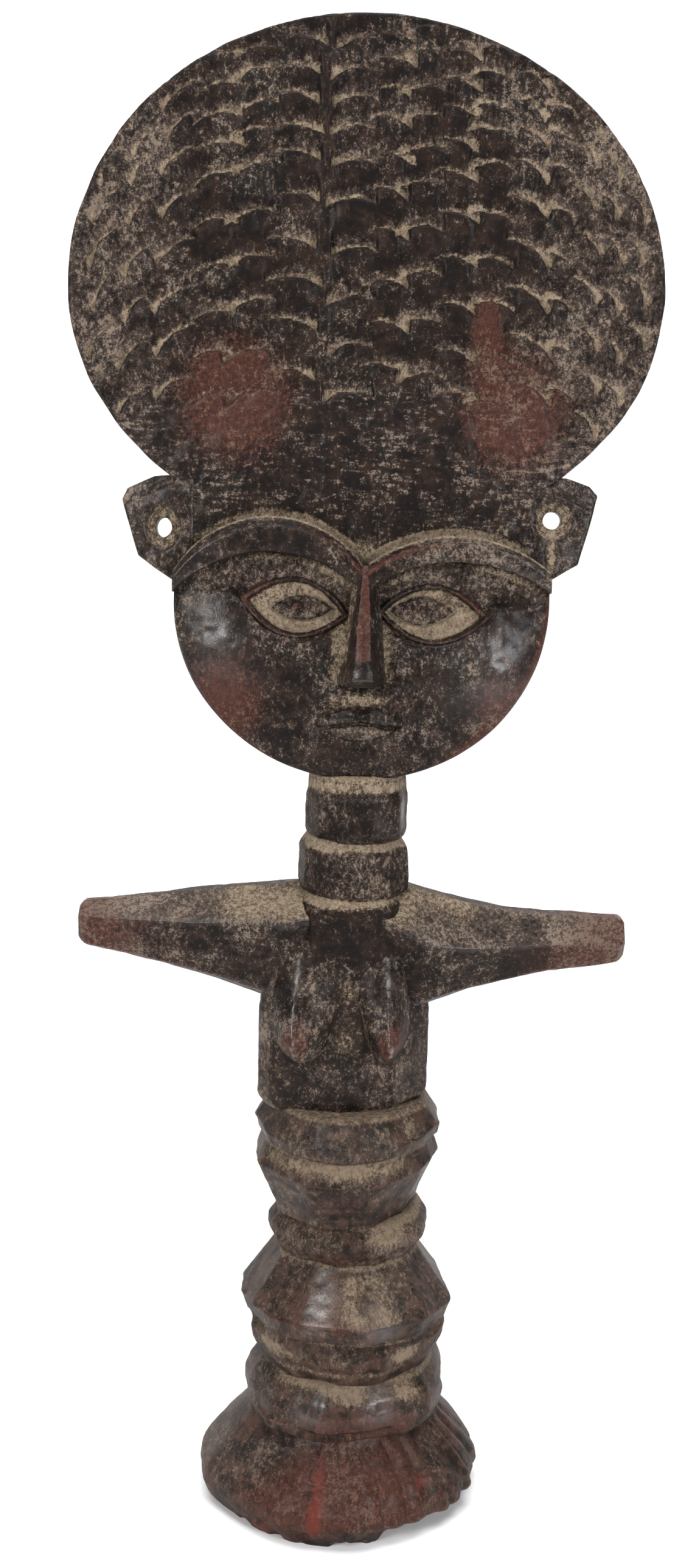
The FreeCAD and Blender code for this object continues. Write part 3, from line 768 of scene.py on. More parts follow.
def make_face():
    def front(x, y):
        brow = brow_line(x, BROW_LEFT_UPPER, BROW_RIGHT_UPPER)
        sunk = smooth_step(y, brow - 1.6, brow - 0.4)
        return face_front(x, y) * (1.0 - sunk) + 3.0 * sunk

    def back(x, y):
        lower = np.clip((FACE_DROP - y) / FACE_DROP, 0.0, 1.0)
        near = np.maximum(0.0, 1.0 + jaw_distance(x, y) / 9.0)
        return FACE_BACK + 2.2 * near ** 2 + 1.2 * lower ** 2 + 0.25 * noise_flat(x, y, 6.5, 33)

    box = ((-42.0, -2.0, -9.5), (43.0, 65.0, 15.5))
    vertices, faces = relief(box, 0.40, face_outline, front, back, 1.1)
    hollow, normal = hollowness(vertices, faces, 10)
    x, y, _ = vertices.T
    front_side = smooth_step(normal[:, 2], -0.1, 0.35)
    beside_nose = smooth_step(np.abs(x - 0.6), 8.6, 5.0)
    beside_nose *= smooth_step(y, 19.5, 22.5) * smooth_step(y, 39.0, 31.0)
    under = brow_line(x, BROW_LEFT_LOWER, BROW_RIGHT_LOWER) - y
    chalk = 0.66 * beside_nose
    chalk += blobs(x, under, (0.85, -6.0, 1.2, 6.0, 1.3), (0.6, -19.5, 1.0, 6.5, 1.0),
                   (0.65, 9.5, 1.3, 5.0, 1.3), (0.75, 32.0, 1.0, 10.0, 1.2))
    over_lips, on_chin = (0.68, 0.5, 17.6, 8.5, 2.1), (0.22, 0.5, 3.0, 20.0, 3.0)
    on_bridge = (0.35, -2.0, 38.0, 3.0, 4.0)
    chalk += blobs(x, y, over_lips, on_chin, on_bridge)
    chalk = front_side * chalk + sunk(hollow, 1.6, 0.35)
    wear = blobs(x, y, (0.95, -29.0, 16.5, 9.5, 11.0), (0.75, 31.0, 17.0, 7.5, 8.0))
    rim = smooth_step(jaw_distance(x, y), -2.8, -0.4)
    wear += 0.8 * rim * smooth_step(x, 14.0, 26.0) * smooth_step(y, 44.0, 36.0)
    wear += proud(hollow, 1.2, 0.2)
    shine = 0.08 + blobs(x, y, (1.0, -30.0, 30.0, 8.0, 7.0), (1.0, 27.0, 25.0, 9.0, 8.0))
    dust_and_sheen = 0.10 + blobs(x, y, (0.15, 22.0, 14.0, 16.0, 9.0), (0.35, 20.0, 44.0, 20.0, 5.0),
                        (0.35, -20.0, 44.0, 20.0, 5.0))
    masks = {"chalk": chalk, "wear": wear, "dust_and_sheen": dust_and_sheen, "shine": shine}
    make_object("face_mask", stand_head(vertices), faces, "dark_wood", ["face"], masks)


def make_brow(name, node, upper, lower, side):
    """Raised band over one eye, with a bevelled upper edge and a steep lower one."""
    outer_x, inner_x = upper[0][0], upper[2][0]

    def outline(x, y):
        top = y - arc_height(x, upper)
        bottom = arc_height(x, lower) - y
        end = side * (x - outer_x)
        inner = side * (inner_x - x) - 0.15
        band = np.maximum(top, bottom) * 0.86
        return np.maximum(np.maximum(band, end), inner) + 0.08 * noise_flat(x, y, 3.5, 41)

    def front(x, y):
        top, bottom = arc_height(x, upper), arc_height(x, lower)
        t = np.clip((y - bottom) / np.maximum(top - bottom, 0.5), 0.0, 1.0)
        outward = np.clip(side * (x - inner_x) / abs(outer_x), 0.0, 1.0)
        height = 14.9 - 1.7 * outward ** 2 - 0.7 * (1 - t) ** 2
        height -= 2.4 * smooth_step(t, 0.62, 1.0)
        return height + layers(x, y, (0.16, 4.0, 42), (0.10, 1.6, 43))

    x0, x1 = sorted((outer_x, inner_x))
    box = ((x0 - 1.0, 38.0, 6.0), (x1 + 1.0, 58.5, 16.0))
    vertices, faces = relief(box, 0.28, outline, front, lambda x, y: np.full_like(x, 7.5), 0.6)
    hollow, normal = hollowness(vertices, faces, 10)
    x, y, _ = vertices.T
    top = arc_height(x, upper)
    edge_up = smooth_step(np.abs(top - 1.9 - y), 1.1, 0.3)
    inner_part = smooth_step(np.abs(x - inner_x), 32.0, 6.0)
    wear = (0.75 if side > 0 else 0.45) * edge_up * inner_part + proud(hollow, 1.2, 0.3)
    wear += 0.5 * blob(x, y, inner_x, 46.0, 1.6, 3.0)
    chalk = 0.62 * smooth_step(top - y, 0.9, 0.2) + 0.2 * smooth_step(normal[:, 1], 0.5, 0.9)
    # the extra dust towards the right brow's outer end is painted grey-purple sheen
    dust_and_sheen = 0.15 + 0.25 * smooth_step(x, 5.0, 25.0)
    shine = 0.12 + 0.35 * smooth_step(np.abs(x), 22.0, 36.0)
    masks = {"chalk": chalk, "wear": wear, "dust_and_sheen": dust_and_sheen, "shine": shine}
    make_object(name, stand_head(vertices), faces, "dark_wood", [node], masks)


# height up the face, then left edge, ridge's left edge, ridge's right edge, right edge, ridge height
NOSE = (
    (20.3, -5.2, -1.8, 3.6, 6.7, 18.4),
    (22.0, -4.5, -1.2, 3.2, 6.3, 20.0),
    (26.0, -3.1, -0.7, 2.8, 5.7, 19.9),
    (33.0, -2.6, -0.5, 2.5, 5.3, 17.9),
    (40.0, -1.9, 0.2, 2.2, 4.4, 16.0),
    (44.0, -1.3, 0.4, 1.9, 3.6, 14.9),
    (47.0, -1.0, 0.5, 1.8, 3.2, 13.0),
)


def make_nose():
    """Straight narrow ridge with a steep right flank, widening to two short wings."""
    ups = [row[0] for row in NOSE]

    def at(column, y):
        return np.interp(y, ups, [row[column] for row in NOSE])

    def outline(x, y):
        side = np.maximum(at(1, y) - x, x - at(4, y)) * 0.92
        base = 20.7 - y + 0.010 * (x - 0.8) ** 2
        return np.maximum(np.maximum(side, base), y - 47.0)

    def front(x, y):
        left, right, ridge = at(2, y), at(3, y), at(5, y)
        floor = 11.2
        fall_left = np.clip((left - x) / (left - at(1, y)), 0.0, 1.0)
        fall_right = np.clip((x - right) / (at(4, y) - right), 0.0, 1.0)
        height = ridge - (ridge - floor) * (fall_left ** 0.85 + fall_right)
        height -= 0.25 * ((x - (left + right) / 2) / 1.5) ** 2 * (fall_left + fall_right < 1e-6)
        height -= 2.0 * smooth_step(y, 22.6, 20.6)
        return height + layers(x, y, (0.10, 2.5, 51), (0.05, 1.1, 52))

    box = ((-6.5, 19.5, 6.0), (8.5, 48.0, 21.0))
    vertices, faces = relief(box, 0.24, outline, front, lambda x, y: np.full_like(x, 7.5), 0.55)
    hollow, normal = hollowness(vertices, faces, 9)
    x, y, depth = vertices.T
    on_ridge = smooth_step(np.abs(x - 1.0), 2.2, 1.3) * smooth_step(y, 24.5, 27.5)
    wear = 0.80 * on_ridge * smooth_step(normal[:, 2], 0.6, 0.85) + proud(hollow, 0.8, 0.15)
    left_flank = smooth_step(-normal[:, 0], 0.3, 0.7)
    chalk = 0.55 * left_flank * smooth_step(depth, 16.0, 12.5) * smooth_step(y, 23.0, 27.0)
    chalk += 0.30 * smooth_step(normal[:, 0], 0.3, 0.7) * smooth_step(depth, 13.5, 12.0)
    shine = 0.2 + 0.6 * smooth_step(y, 26.0, 23.0)
    masks = {"chalk": chalk, "wear": wear, "dust_and_sheen": 0.0 * x, "shine": shine}
    make_object("nose_ridge", stand_head(vertices), faces, "dark_wood", ["nose"], masks)


def make_eye(name, node, eye, ball):
    """Slanted lid, clay-filled groove and lens-shaped eyeball."""
    bx, by, half_across, half_up = ball

    def outline(x, y):
        return (lens(x, y, eye) - 1.0) * 5.5

    def ball_reach(x, y):
        a = np.abs(y - by) / half_up
        b = ((x - bx) / half_across) ** 2
        return 0.5 * (a + np.sqrt(a * a + 4.0 * b))

    def front(x, y):
        t = lens(x, y, eye)
        rim = 0.95 * np.exp(-((t - 0.90) / 0.10) ** 2) + 0.35 * smooth_step(t, 0.8, 0.95)
        dome = 2.3 * np.sqrt(np.clip(1.0 - ball_reach(x, y) ** 2, 0.0, 1.0))
        groove = -0.30 * np.exp(-((t - 0.72) / 0.10) ** 2)
        crease = -0.30 * np.exp(-((y - by) / 0.35) ** 2) * smooth_step(ball_reach(x, y), 0.8, 0.3)
        return face_height(x, y) - 0.25 + rim + dome + groove + crease + 0.09 * noise_flat(x, y, 1.7, 61)

    (ox, _), (ix, _), _, _ = eye
    low, high = sorted((ox, ix))
    box = ((low - 0.8, 28.5, 5.0), (high + 0.8, 45.5, 16.5))
    vertices, faces = relief(box, 0.24, outline, front, lambda x, y: np.full_like(x, 6.5), 0.5)
    hollow, _ = hollowness(vertices, faces, 8)
    x, y, _ = vertices.T
    t = lens(x, y, eye)
    upper = smooth_step(y - by, -0.5, 1.5)
    inner = smooth_step(np.abs(x - ix), 13.0, 4.0)
    groove = smooth_step(t, 0.86, 0.78) * smooth_step(ball_reach(x, y), 0.84, 0.98)
    amount = 0.98 - 0.45 * upper * (1.0 - inner)
    chalk = groove * amount + 0.12
    lid_red = smooth_step(t, 0.84, 0.90) * upper * smooth_step(np.abs(x - ox), 10.0, 5.0)
    lid_red += 0.5 * smooth_step(t, 0.84, 0.90) * (1.0 - upper)
    pupil = blob(x, y, bx - 1.0, by + 0.3, 3.2, 1.6)
    wear = 0.75 * lid_red + 0.45 * pupil + proud(hollow, 1.0, 0.15)
    dust_and_sheen = 0.60 * smooth_step(ball_reach(x, y), 1.0, 0.7) * (1.0 - pupil)
    masks = {"chalk": chalk, "wear": wear, "dust_and_sheen": dust_and_sheen, "shine": 0.3 * smooth_step(t, 0.8, 0.95)}
    make_object(name, stand_head(vertices), faces, "dark_wood", [node], masks)


def make_mouth():
    """Full upper lip, dark slit and a thinner lower lip."""
    def slit_line(x):
        return 12.6 - 0.010 * (x - 0.9) ** 2 + 0.20 * np.cos((x - 0.9) * 0.55)

    def outline(x, y):
        return (lens(x, y, LIPS) - 1.0) * 3.6

    def front(x, y):
        t = lens(x, y, LIPS)
        swell = 1.9 * np.clip(1.02 - t * t, 0.0, 1.0) ** 0.8
        slit = 1.5 * np.exp(-((y - slit_line(x)) / 0.42) ** 2) * smooth_step(np.abs(x - 0.9), 9.4, 7.0)
        groove = 0.5 * blob(x, y, 0.9, 16.0, 1.4, 1.2)
        return face_height(x, y) - 0.2 + swell - slit - groove + 0.08 * noise_flat(x, y, 1.8, 71)

    box = ((-10.2, 8.0, 6.0), (12.0, 17.6, 16.5))
    vertices, faces = relief(box, 0.24, outline, front, lambda x, y: np.full_like(x, 7.5), 0.5)
    hollow, _ = hollowness(vertices, faces, 8)
    x, y, _ = vertices.T
    below = slit_line(x) - y
    chalk = blobs(x, below, (0.62, 4.0, 1.4, 4.0, 0.7), (0.25, -4.0, 1.8, 3.5, 0.8))
    chalk += 0.35 * blob(x, y, 0.9, 16.2, 6.0, 0.7)
    dust_and_sheen = 0.12 + 0.25 * smooth_step(below, 0.3, 1.0)
    masks = {"chalk": chalk, "wear": proud(hollow, 1.0, 0.2), "dust_and_sheen": dust_and_sheen, "shine": np.full_like(x, 0.2)}
    make_object("mouth_lips", stand_head(vertices), faces, "dark_wood", ["mouth"], masks)


def make_ear(name, node, corners, hole, side):
    """Flat lug with a pierced hole in a scooped dimple."""
    hx, hy = hole
    squash = (0.88, 1.12) if side < 0 else (1.05, 0.97)

    def from_hole(x, y):
        return np.hypot((x - hx) / squash[0], (y - hy) / squash[1])

    def outline(x, y):
        lug = polygon_distance(x, y, list(corners)) + 0.12 + 0.14 * noise_flat(x, y, 5.0, 81)
        bore = EAR_HOLE_RADIUS - from_hole(x, y) + 0.10 * noise_flat(x, y, 1.5, 82)
        return np.maximum(lug, bore)

    def front(x, y):
        height = 6.7 - 0.6 * smooth_step(np.abs(x), 40.0, 52.0)
        height -= 1.9 * smooth_step(from_hole(x, y), 4.9, 2.2)
        if side > 0:
            height -= 1.1 * blob(x, y, 41.4, 49.0, 1.1, 4.5)
        top_fall = y - np.interp(np.abs(x), (38.0, 52.0), (66.5, 60.0))
        height -= 1.0 * smooth_step(top_fall, -2.2, 0.5)
        return height + layers(x, y, (0.20, 4.5, 83), (0.10, 1.7, 84))

    def back(x, y):
        return -1.8 + 0.9 * smooth_step(from_hole(x, y), 3.6, 2.0) + 0.15 * noise_flat(x, y, 4.0, 85)

    xs = [c[0] for c in corners]
    box = ((min(xs) - 1.0, 39.0, -3.0), (max(xs) + 1.0, 69.0, 8.8))
    vertices, faces = relief(box, 0.32, outline, front, back, 0.8)
    hollow, normal = hollowness(vertices, faces, 8)
    x, y, _ = vertices.T
    near = from_hole(x, y)
    chalk = 0.52 * smooth_step(near, 5.2, 3.6) + sunk(hollow, 1.6, 0.35)
    top_edge = smooth_step(normal[:, 1], 0.3, 0.7) * smooth_step(y, 58.0, 62.0)
    chalk += 0.6 * top_edge * smooth_step(np.abs(x), 50.0, 44.0)
    if side > 0:
        chalk += 0.65 * blob(x, y, 41.4, 49.5, 1.6, 6.0) * smooth_step(normal[:, 2], 0.0, 0.5)
    masks = {"chalk": chalk, "wear": 0.10 + 0 * x, "dust_and_sheen": 0.30 + 0 * x, "shine": np.full_like(x, 0.3)}
    make_object(name, stand_head(vertices), faces, "dark_wood", [node], masks)


# ---- body -------------------------------------------------------------------
LEAN_HEIGHTS = (0.0, 24.0, 34.0, 44.0, 60.0, 70.0, 87.0, 96.0, 150.0, 170.0)
LEAN = (0.0, 0.03, 0.02, 0.0, 0.0, 0.03, 0.02, 0.015, -0.03, 0.0)
# how much each ring's line dips at the front and rises at the sides
DIP_HEIGHTS = (24.0, 34.0, 44.0, 60.0, 70.0, 80.0, 88.0, 96.0, 104.0)
DIP = (0.5, 0.3, -0.2, 0.0, 0.7, 1.2, 1.2, 0.4, 0.0)


def whittle(points):
    """Gentle hand wander shared by the whole body, so its pieces still meet."""
    x, y, z = points.T
    free = smooth_step(z, 0.5, 10.0) * smooth_step(z, 172.0, 160.0)
    frontal = np.clip(-y / np.maximum(np.hypot(x, y), 1.0), 0.0, 1.0) ** 2
    dip = np.interp(z, DIP_HEIGHTS, DIP, 0.0, 0.0) * (0.7 - 1.7 * frontal)
    lift = (0.35 * noise(points, 13.0, 91) + x * np.interp(z, LEAN_HEIGHTS, LEAN) + dip) * free
    push = 0.16 * noise(points, 6.0, 92) + 0.12 * noise(points, 2.4, 93) + 0.06 * noise(points, 1.1, 94)
    grow = 1.0 + (push - 0.15) / np.maximum(np.hypot(x, y), 1.0)
    return np.stack([x * grow, y * grow, z + lift], axis=1)


def uneven_flats(rng, count, spread):
    """Angles and distances of the knife flats round one ring."""
    turns = 2 * math.pi * (np.arange(count) + rng.uniform(-0.25, 0.25, count)) / count + rng.uniform(0, 1)
    return [(turn, 1.0 - 0.5 * spread + rng.uniform(-spread, spread)) for turn in turns]


# how far a ring runs on inside its neighbours, and the step between its hoops of points
RING_LAP = 0.7
RING_STEP = 0.36


def swept_ring(profile, low_flats, high_flats, edge, sharp, middle, rounding=0.2):
    """Hoops of points round a profile whose flats change across its widest edge."""
    low, high = profile[0][0], profile[-1][0]
    heights = [p[0] for p in profile]
    radii = [p[1] for p in profile]
    levels = np.arange(low - RING_LAP, high + RING_LAP, RING_STEP)
    ring = int(2 * math.pi * max(radii) / 0.45)
    angle = np.linspace(0.0, 2 * math.pi, ring, endpoint=False)
    reach = np.zeros_like(levels)
    for shift in (-1.0, -0.5, 0.0, 0.5, 1.0):
        reach += np.interp(levels + shift * rounding, heights, radii) / 5.0
    beyond = np.maximum(low - levels, levels - high)
    reach = reach - 1.6 * np.maximum(beyond, 0.0)
    upper = smooth_step(levels, edge - 0.5, edge + 0.5)[:, None]
    section = flats_reach(angle, low_flats, sharp) * (1.0 - upper)
    section = section + flats_reach(angle, high_flats, sharp) * upper
    r = reach[:, None] * section
    x = middle[0] + r * np.cos(angle)
    y = middle[1] + r * np.sin(angle)
    z = np.broadcast_to(levels[:, None], r.shape)
    points = np.stack([x.ravel(), y.ravel(), z.ravel()], axis=1)
    ends = np.array([[*middle, levels[0]], [*middle, levels[-1]]])
    faces, fans = spin_grid(len(levels), ring)
    return np.concatenate([points, ends]), faces, fans


def make_ring(name, node, profile, seed, flats, spread, look, sharp=60.0, slot="dark_wood", off=0.0):
    """One carved ring of the neck or the lower body."""
    rng = np.random.default_rng(seed)
    edge = max(profile, key=lambda level: level[1])[0]
    low_flats = uneven_flats(rng, flats, spread)
    high_flats = uneven_flats(rng, flats - 1, spread)
    points, faces, fans = swept_ring(profile, low_flats, high_flats, edge, sharp, (off, 0.0))
    points = whittle(points)
    hollow, normal = hollowness(points, faces, 10)
    make_object(name, points, faces, slot, [node], ring_masks(points, normal, hollow, profile, look), fans)


def spot(points, turn, height, half_turn, half_height):
    """Soft spot on the body at an angle (-90 is the front) and a height."""
    angle = np.degrees(np.arctan2(points[:, 1], points[:, 0]))
    away = (angle - turn + 180.0) % 360.0 - 180.0
    return np.exp(-((away / half_turn) ** 2 + ((points[:, 2] - height) / half_height) ** 2))


def spots(points, listed):
    """Sum of soft spots, each given as (turn, height, half_turn, half_height, amount)."""
    return sum(amount * spot(points, *place) for *place, amount in listed)


def ring_masks(points, normal, hollow, profile, look):
    """Clay in the grooves and on the listed spots, wear on the listed spots and on proud edges."""
    z = points[:, 2]
    low, high = profile[0][0], profile[-1][0]
    patchy = noise(points, 7.0, 95)
    in_groove = smooth_step(high - z, 1.1, 0.2) + 0.6 * smooth_step(z - low, 1.0, 0.2)
    chalk = look.get("groove", 0.5) * in_groove + sunk(hollow, 1.3, 0.3)
    chalk += look.get("bevel", 0.3) * smooth_step(normal[:, 2], 0.30, 0.62) * (0.75 + 0.7 * patchy)
    chalk += spots(points, look.get("clay", ())) * (0.85 + 0.5 * patchy)
    wear = proud(hollow, 1.5, 0.28) + spots(points, look.get("red", ()))
    dust_and_sheen = look.get("dust_and_sheen", 0.15) + 0.35 * noise(points, 12.0, 97)
    shine = np.full_like(z, look.get("shine", 0.06)) + spots(points, look.get("glint", ()))
    return {"chalk": chalk, "wear": wear, "dust_and_sheen": dust_and_sheen, "shine": shine}


def make_neck():
    make_ring(
        "neck_upper", "neck_ring_upper",
        ((157.3, 10.3), (158.0, 11.1), (159.2, 11.4), (166.4, 11.4), (167.4, 11.1), (171.6, 10.8)),
        3, 12, 0.02,
        {
            "groove": 0.5,
            "dust_and_sheen": 0.4,
            "clay": ((-90, 169.6, 120, 1.6, 1.05),),
            "glint": ((-60, 163.0, 8, 4.0, 0.4), (-20, 163.0, 8, 4.0, 0.4)),
        },
        off=0.5,
    )
    make_ring(
        "neck_lower", "neck_ring_lower",
        ((144.6, 11.4), (145.8, 12.3), (154.4, 12.1), (155.4, 11.6), (157.3, 10.4)),
        4, 12, 0.02,
        {
            "groove": 0.6,
            "dust_and_sheen": 0.4,
            "clay": ((-90, 156.4, 120, 1.2, 0.9), (-66, 149.0, 9, 2.0, 0.5), (-52, 147.5, 7, 2.0, 0.8)),
        },
    )
    make_ring(
        "neck_collar_ring", "neck_collar",
        ((124.0, 11.2), (132.0, 12.9), (141.6, 13.3), (142.6, 12.9), (144.6, 11.5)),
        5, 9, 0.02,
        {
            "dust_and_sheen": 0.1,
            "clay": ((-92, 143.7, 70, 1.0, 1.0), (-122, 141.0, 12, 2.0, 0.45), (-22, 139.0, 12, 6.0, 0.5)),
        },
    )


def make_lower_rings():
    make_ring(
        "hip_ring_band", "hip_ring",
        ((87.3, 19.2), (87.9, 20.5), (90.6, 21.0), (91.4, 20.7), (95.8, 18.0)),
        6, 13, 0.03,
        {
            "dust_and_sheen": 0.3,
            "bevel": 0.12,
            "shine": 0.2,
            "clay": (
                (-66, 92.4, 9, 2.0, 0.62), (-93, 92.6, 9, 2.0, 0.45),
                (-42, 93.0, 9, 2.2, 0.6), (-125, 93.4, 14, 2.2, 0.40),
            ),
        },
        slot="raw_wood",
    )
    make_ring(
        "waist_cone_band", "waist_cone",
        ((69.9, 16.0), (72.5, 16.6), (81.4, 20.6), (82.0, 21.0), (82.9, 20.7), (87.3, 19.0)),
        7, 12, 0.03,
        {
            "groove": 0.6,
            "shine": 0.16,
            "clay": ((-135, 84.9, 42, 2.4, 0.95), (-92, 84.7, 26, 2.4, 0.95), (-52, 85.4, 20, 2.0, 0.6)),
            "red": (
                (-93, 77.0, 26, 5.5, 0.40), (-60, 81.0, 14, 3.0, 0.3),
                (100, 77.0, 60, 5.0, 0.6), (-45, 72.0, 18, 2.5, 0.3),
            ),
        },
        slot="raw_wood",
    )
    make_ring(
        "waist_ring_band", "waist_ring",
        ((60.6, 16.2), (61.6, 17.0), (64.0, 18.4), (66.6, 18.3), (69.9, 16.0)),
        8, 12, 0.03,
        {
            "dust_and_sheen": 0.35,
            "clay": ((-100, 67.4, 30, 1.6, 0.4), (-55, 67.0, 14, 2.4, 0.95), (150, 67.0, 30, 2.0, 0.4)),
            "red": ((-90, 62.6, 45, 2.0, 0.45), (100, 64.0, 50, 2.0, 0.4)),
        },
        slot="raw_wood", off=1.0,
    )
    make_ring(
        "skirt_flare_band", "skirt_flare",
        ((44.6, 22.7), (48.4, 24.0), (49.0, 24.5), (49.8, 24.1), (60.6, 16.4)),
        9, 11, 0.03,
        {
            "dust_and_sheen": 0.25,
            "shine": 0.14,
            "clay": ((-80, 58.0, 12, 2.6, 0.65), (-66, 55.0, 8, 5.0, 0.75), (-84, 51.5, 8, 3.0, 0.45)),
            "red": (
                (-118, 52.0, 16, 7.0, 0.45), (-92, 52.0, 9, 8.0, 0.75),
                (-70, 50.0, 8, 5.0, 0.3), (120, 52, 40, 5, 0.6),
            ),
            "glint": ((-104, 53.0, 8, 6.0, 1.0), (-68, 51.0, 8, 6.0, 1.0)),
        },
        sharp=90.0, slot="raw_wood", off=0.5,
    )
    make_ring(
        "skirt_ring_band", "skirt_ring",
        ((33.9, 19.7), (36.0, 20.8), (39.5, 22.4), (42.6, 22.9), (44.6, 22.4)),
        10, 12, 0.025,
        {
            "groove": 0.4,
            "dust_and_sheen": 0.3,
            "clay": (
                (-132, 40.6, 22, 2.6, 0.95), (-52, 40.6, 16, 2.4, 0.95), (-90, 40.5, 10, 1.8, 0.5),
                (-112, 36.4, 30, 1.2, 0.7), (-60, 37.0, 20, 1.0, 0.5),
            ),
            "red": ((-88, 38.0, 40, 4.0, 0.40), (90, 39.0, 50, 2.5, 0.4)),
        },
        slot="raw_wood", off=1.2,
    )
    make_ring(
        "base_ring_band", "base_ring",
        ((19.8, 20.6), (21.2, 22.6), (24.0, 23.3), (27.4, 23.3), (30.4, 22.2), (33.9, 19.6)),
        12, 13, 0.03,
        {
            "shine": 0.14,
            "clay": (
                (-108, 32.8, 26, 1.2, 0.95), (-84, 31.2, 8, 2.0, 0.75),
                (-50, 30.8, 8, 2.4, 1.1), (60, 31, 40, 1.5, 0.5),
            ),
            "red": ((-100, 25.0, 46, 4.6, 0.50), (-58, 24.0, 22, 3.6, 0.45), (90, 26, 50, 3.0, 0.6)),
            "glint": ((-108, 29.0, 10, 3.4, 1.6), (-68, 29.0, 10, 3.2, 1.6)),
        },
        slot="raw_wood", off=1.0,
    )


FOOT_PROFILE = (
    (0.0, 30.6), (2.2, 32.4), (5.0, 33.4), (7.6, 32.9),
    (11.4, 30.2), (16.0, 25.9), (19.6, 22.4), (22.8, 20.6),
)


def foot_masks(points, hollow, gouged):
    x, y, _ = points.T
    angle = np.degrees(np.arctan2(y, x))
    rough = noise(points, 6.0, 100)
    chalk = 0.34 * gouged * proud(hollow, 4.0, 1.0) * smooth_step(angle, -80.0, -60.0)
    chalk += sunk(hollow, 0.6, 0.2)
    wear = 0.25 + 0.30 * noise(points, 9.0, 99)
    wear += spots(points, ((-108.0, 8.0, 26.0, 9.0, 0.60), (-66.0, 10.0, 26.0, 9.0, 0.50)))
    wear += 0.5 * gouged * proud(hollow, 3.0, 1.0)
    pigment = spots(points, ((-99.5, 10.0, 3.8, 9.0, 0.92), (-117.0, 1.8, 14.0, 3.0, 0.55),
                             (-72.0, 8.0, 7.0, 7.0, 0.42), (-48.0, 12.0, 7.0, 6.0, 0.45)))
    pigment = pigment + 0.45 * rough * smooth_step(pigment, 0.1, 0.4)
    dust_and_sheen = 0.10 + 0.30 * noise(points, 10.0, 105) + 0.35 * spot(points, -150.0, 12.0, 40.0, 10.0)
    # the front of the foot's bottom edge is made darker here, with less wear, dust and pigment
    darker_front_edge = spot(points, -86.0, 1.5, 12.0, 3.5)
    return {
        "chalk": chalk,
        "wear": wear * (1.0 - darker_front_edge),
        "dust_and_sheen": dust_and_sheen - 0.5 * darker_front_edge,
        "pigment": pigment - darker_front_edge,
        "shine": np.full_like(x, 0.12),
    }


def make_foot():
    """Flared foot with a hacked rim, radial gouge strokes and a flat underside."""
    levels = np.concatenate([np.arange(0.0, 23.3, 0.40), [23.6]])
    ring = 460
    angle = np.linspace(-math.pi, math.pi, ring, endpoint=False)
    rng = np.random.default_rng(20)
    section = flats_reach(angle, uneven_flats(rng, 15, 0.020), 40.0)[None, :]
    z = np.broadcast_to(levels[:, None], (len(levels), ring))
    degrees = np.broadcast_to(np.degrees(angle)[None, :], z.shape)
    reach = np.interp(levels, [p[0] for p in FOOT_PROFILE], [p[1] for p in FOOT_PROFILE])[:, None]
    r = reach * (1.0 + (section - 1.0) * smooth_step(z, 24.0, 8.0))
    gouged = smooth_step(degrees, -84.0, -66.0) * smooth_step(degrees, 16.0, -6.0)
    gouged = np.maximum(gouged, 0.6 * smooth_step(np.abs(degrees - 100.0), 70.0, 40.0))
    drift = degrees + 5.0 * noise_flat(degrees, z, 14.0, 101) + 0.35 * z
    stroke = np.abs(np.sin(np.radians(drift) * 15.5)) ** 0.8
    stroke = stroke * (0.75 + 0.5 * noise_flat(drift * 0.4, z * 0.2, 3.0, 104))
    r = r - 1.25 * gouged * (1.0 - stroke) * smooth_step(z, 0.0, 2.5) * smooth_step(z, 22.5, 16.0)
    lumpy = smooth_step(np.abs(degrees + 93.0), 24.0, 12.0)
    lumps = noise_flat(degrees * 0.5, z, 2.6, 106) + 0.6 * noise_flat(degrees * 0.5, z, 1.2, 107)
    r = r + 0.55 * lumpy * lumps * smooth_step(z, 22.0, 17.0)
    chips = np.clip(noise_flat(degrees, z * 2.0, 9.0, 102) - 0.1, 0, 1) * smooth_step(z, 6.5, 1.0)
    broken = smooth_step(np.abs(degrees + 42.0), 34.0, 22.0) * smooth_step(z, 4.2, 2.6)
    r = r - 2.2 * chips - 3.4 * broken
    points = np.stack([(r * np.cos(angle)).ravel(), (r * np.sin(angle)).ravel(), z.ravel()], axis=1)
    ends = np.array([[0.0, 0.0, 0.0], [0.0, 0.0, levels[-1]]])
    points = whittle(np.concatenate([points, ends]))
    points[:, 2] = np.maximum(points[:, 2], 0.0)
    faces, fans = spin_grid(len(levels), ring)
    hollow, _ = hollowness(points, faces, 8)
    gouged = np.concatenate([gouged.ravel(), [0.0, 0.0]])
    make_object("foot_flare", points, faces, "raw_wood", ["foot"], foot_masks(points, hollow, gouged), fans)


# direction each side of the torso block faces, degrees, and its distance from the middle
TORSO_SIDES = (
    (-100.5, 12.9), (-79.6, 12.85), (-45.8, 16.05), (0.0, 19.3), (49.4, 17.5),
    (90.0, 12.4), (133.0, 17.2), (180.0, 19.3), (219.8, 19.05),
)
TORSO_PROFILE = ((95.4, 17.9), (97.6, 19.6), (98.6, 20.0), (118.0, 20.0), (134.6, 17.2))


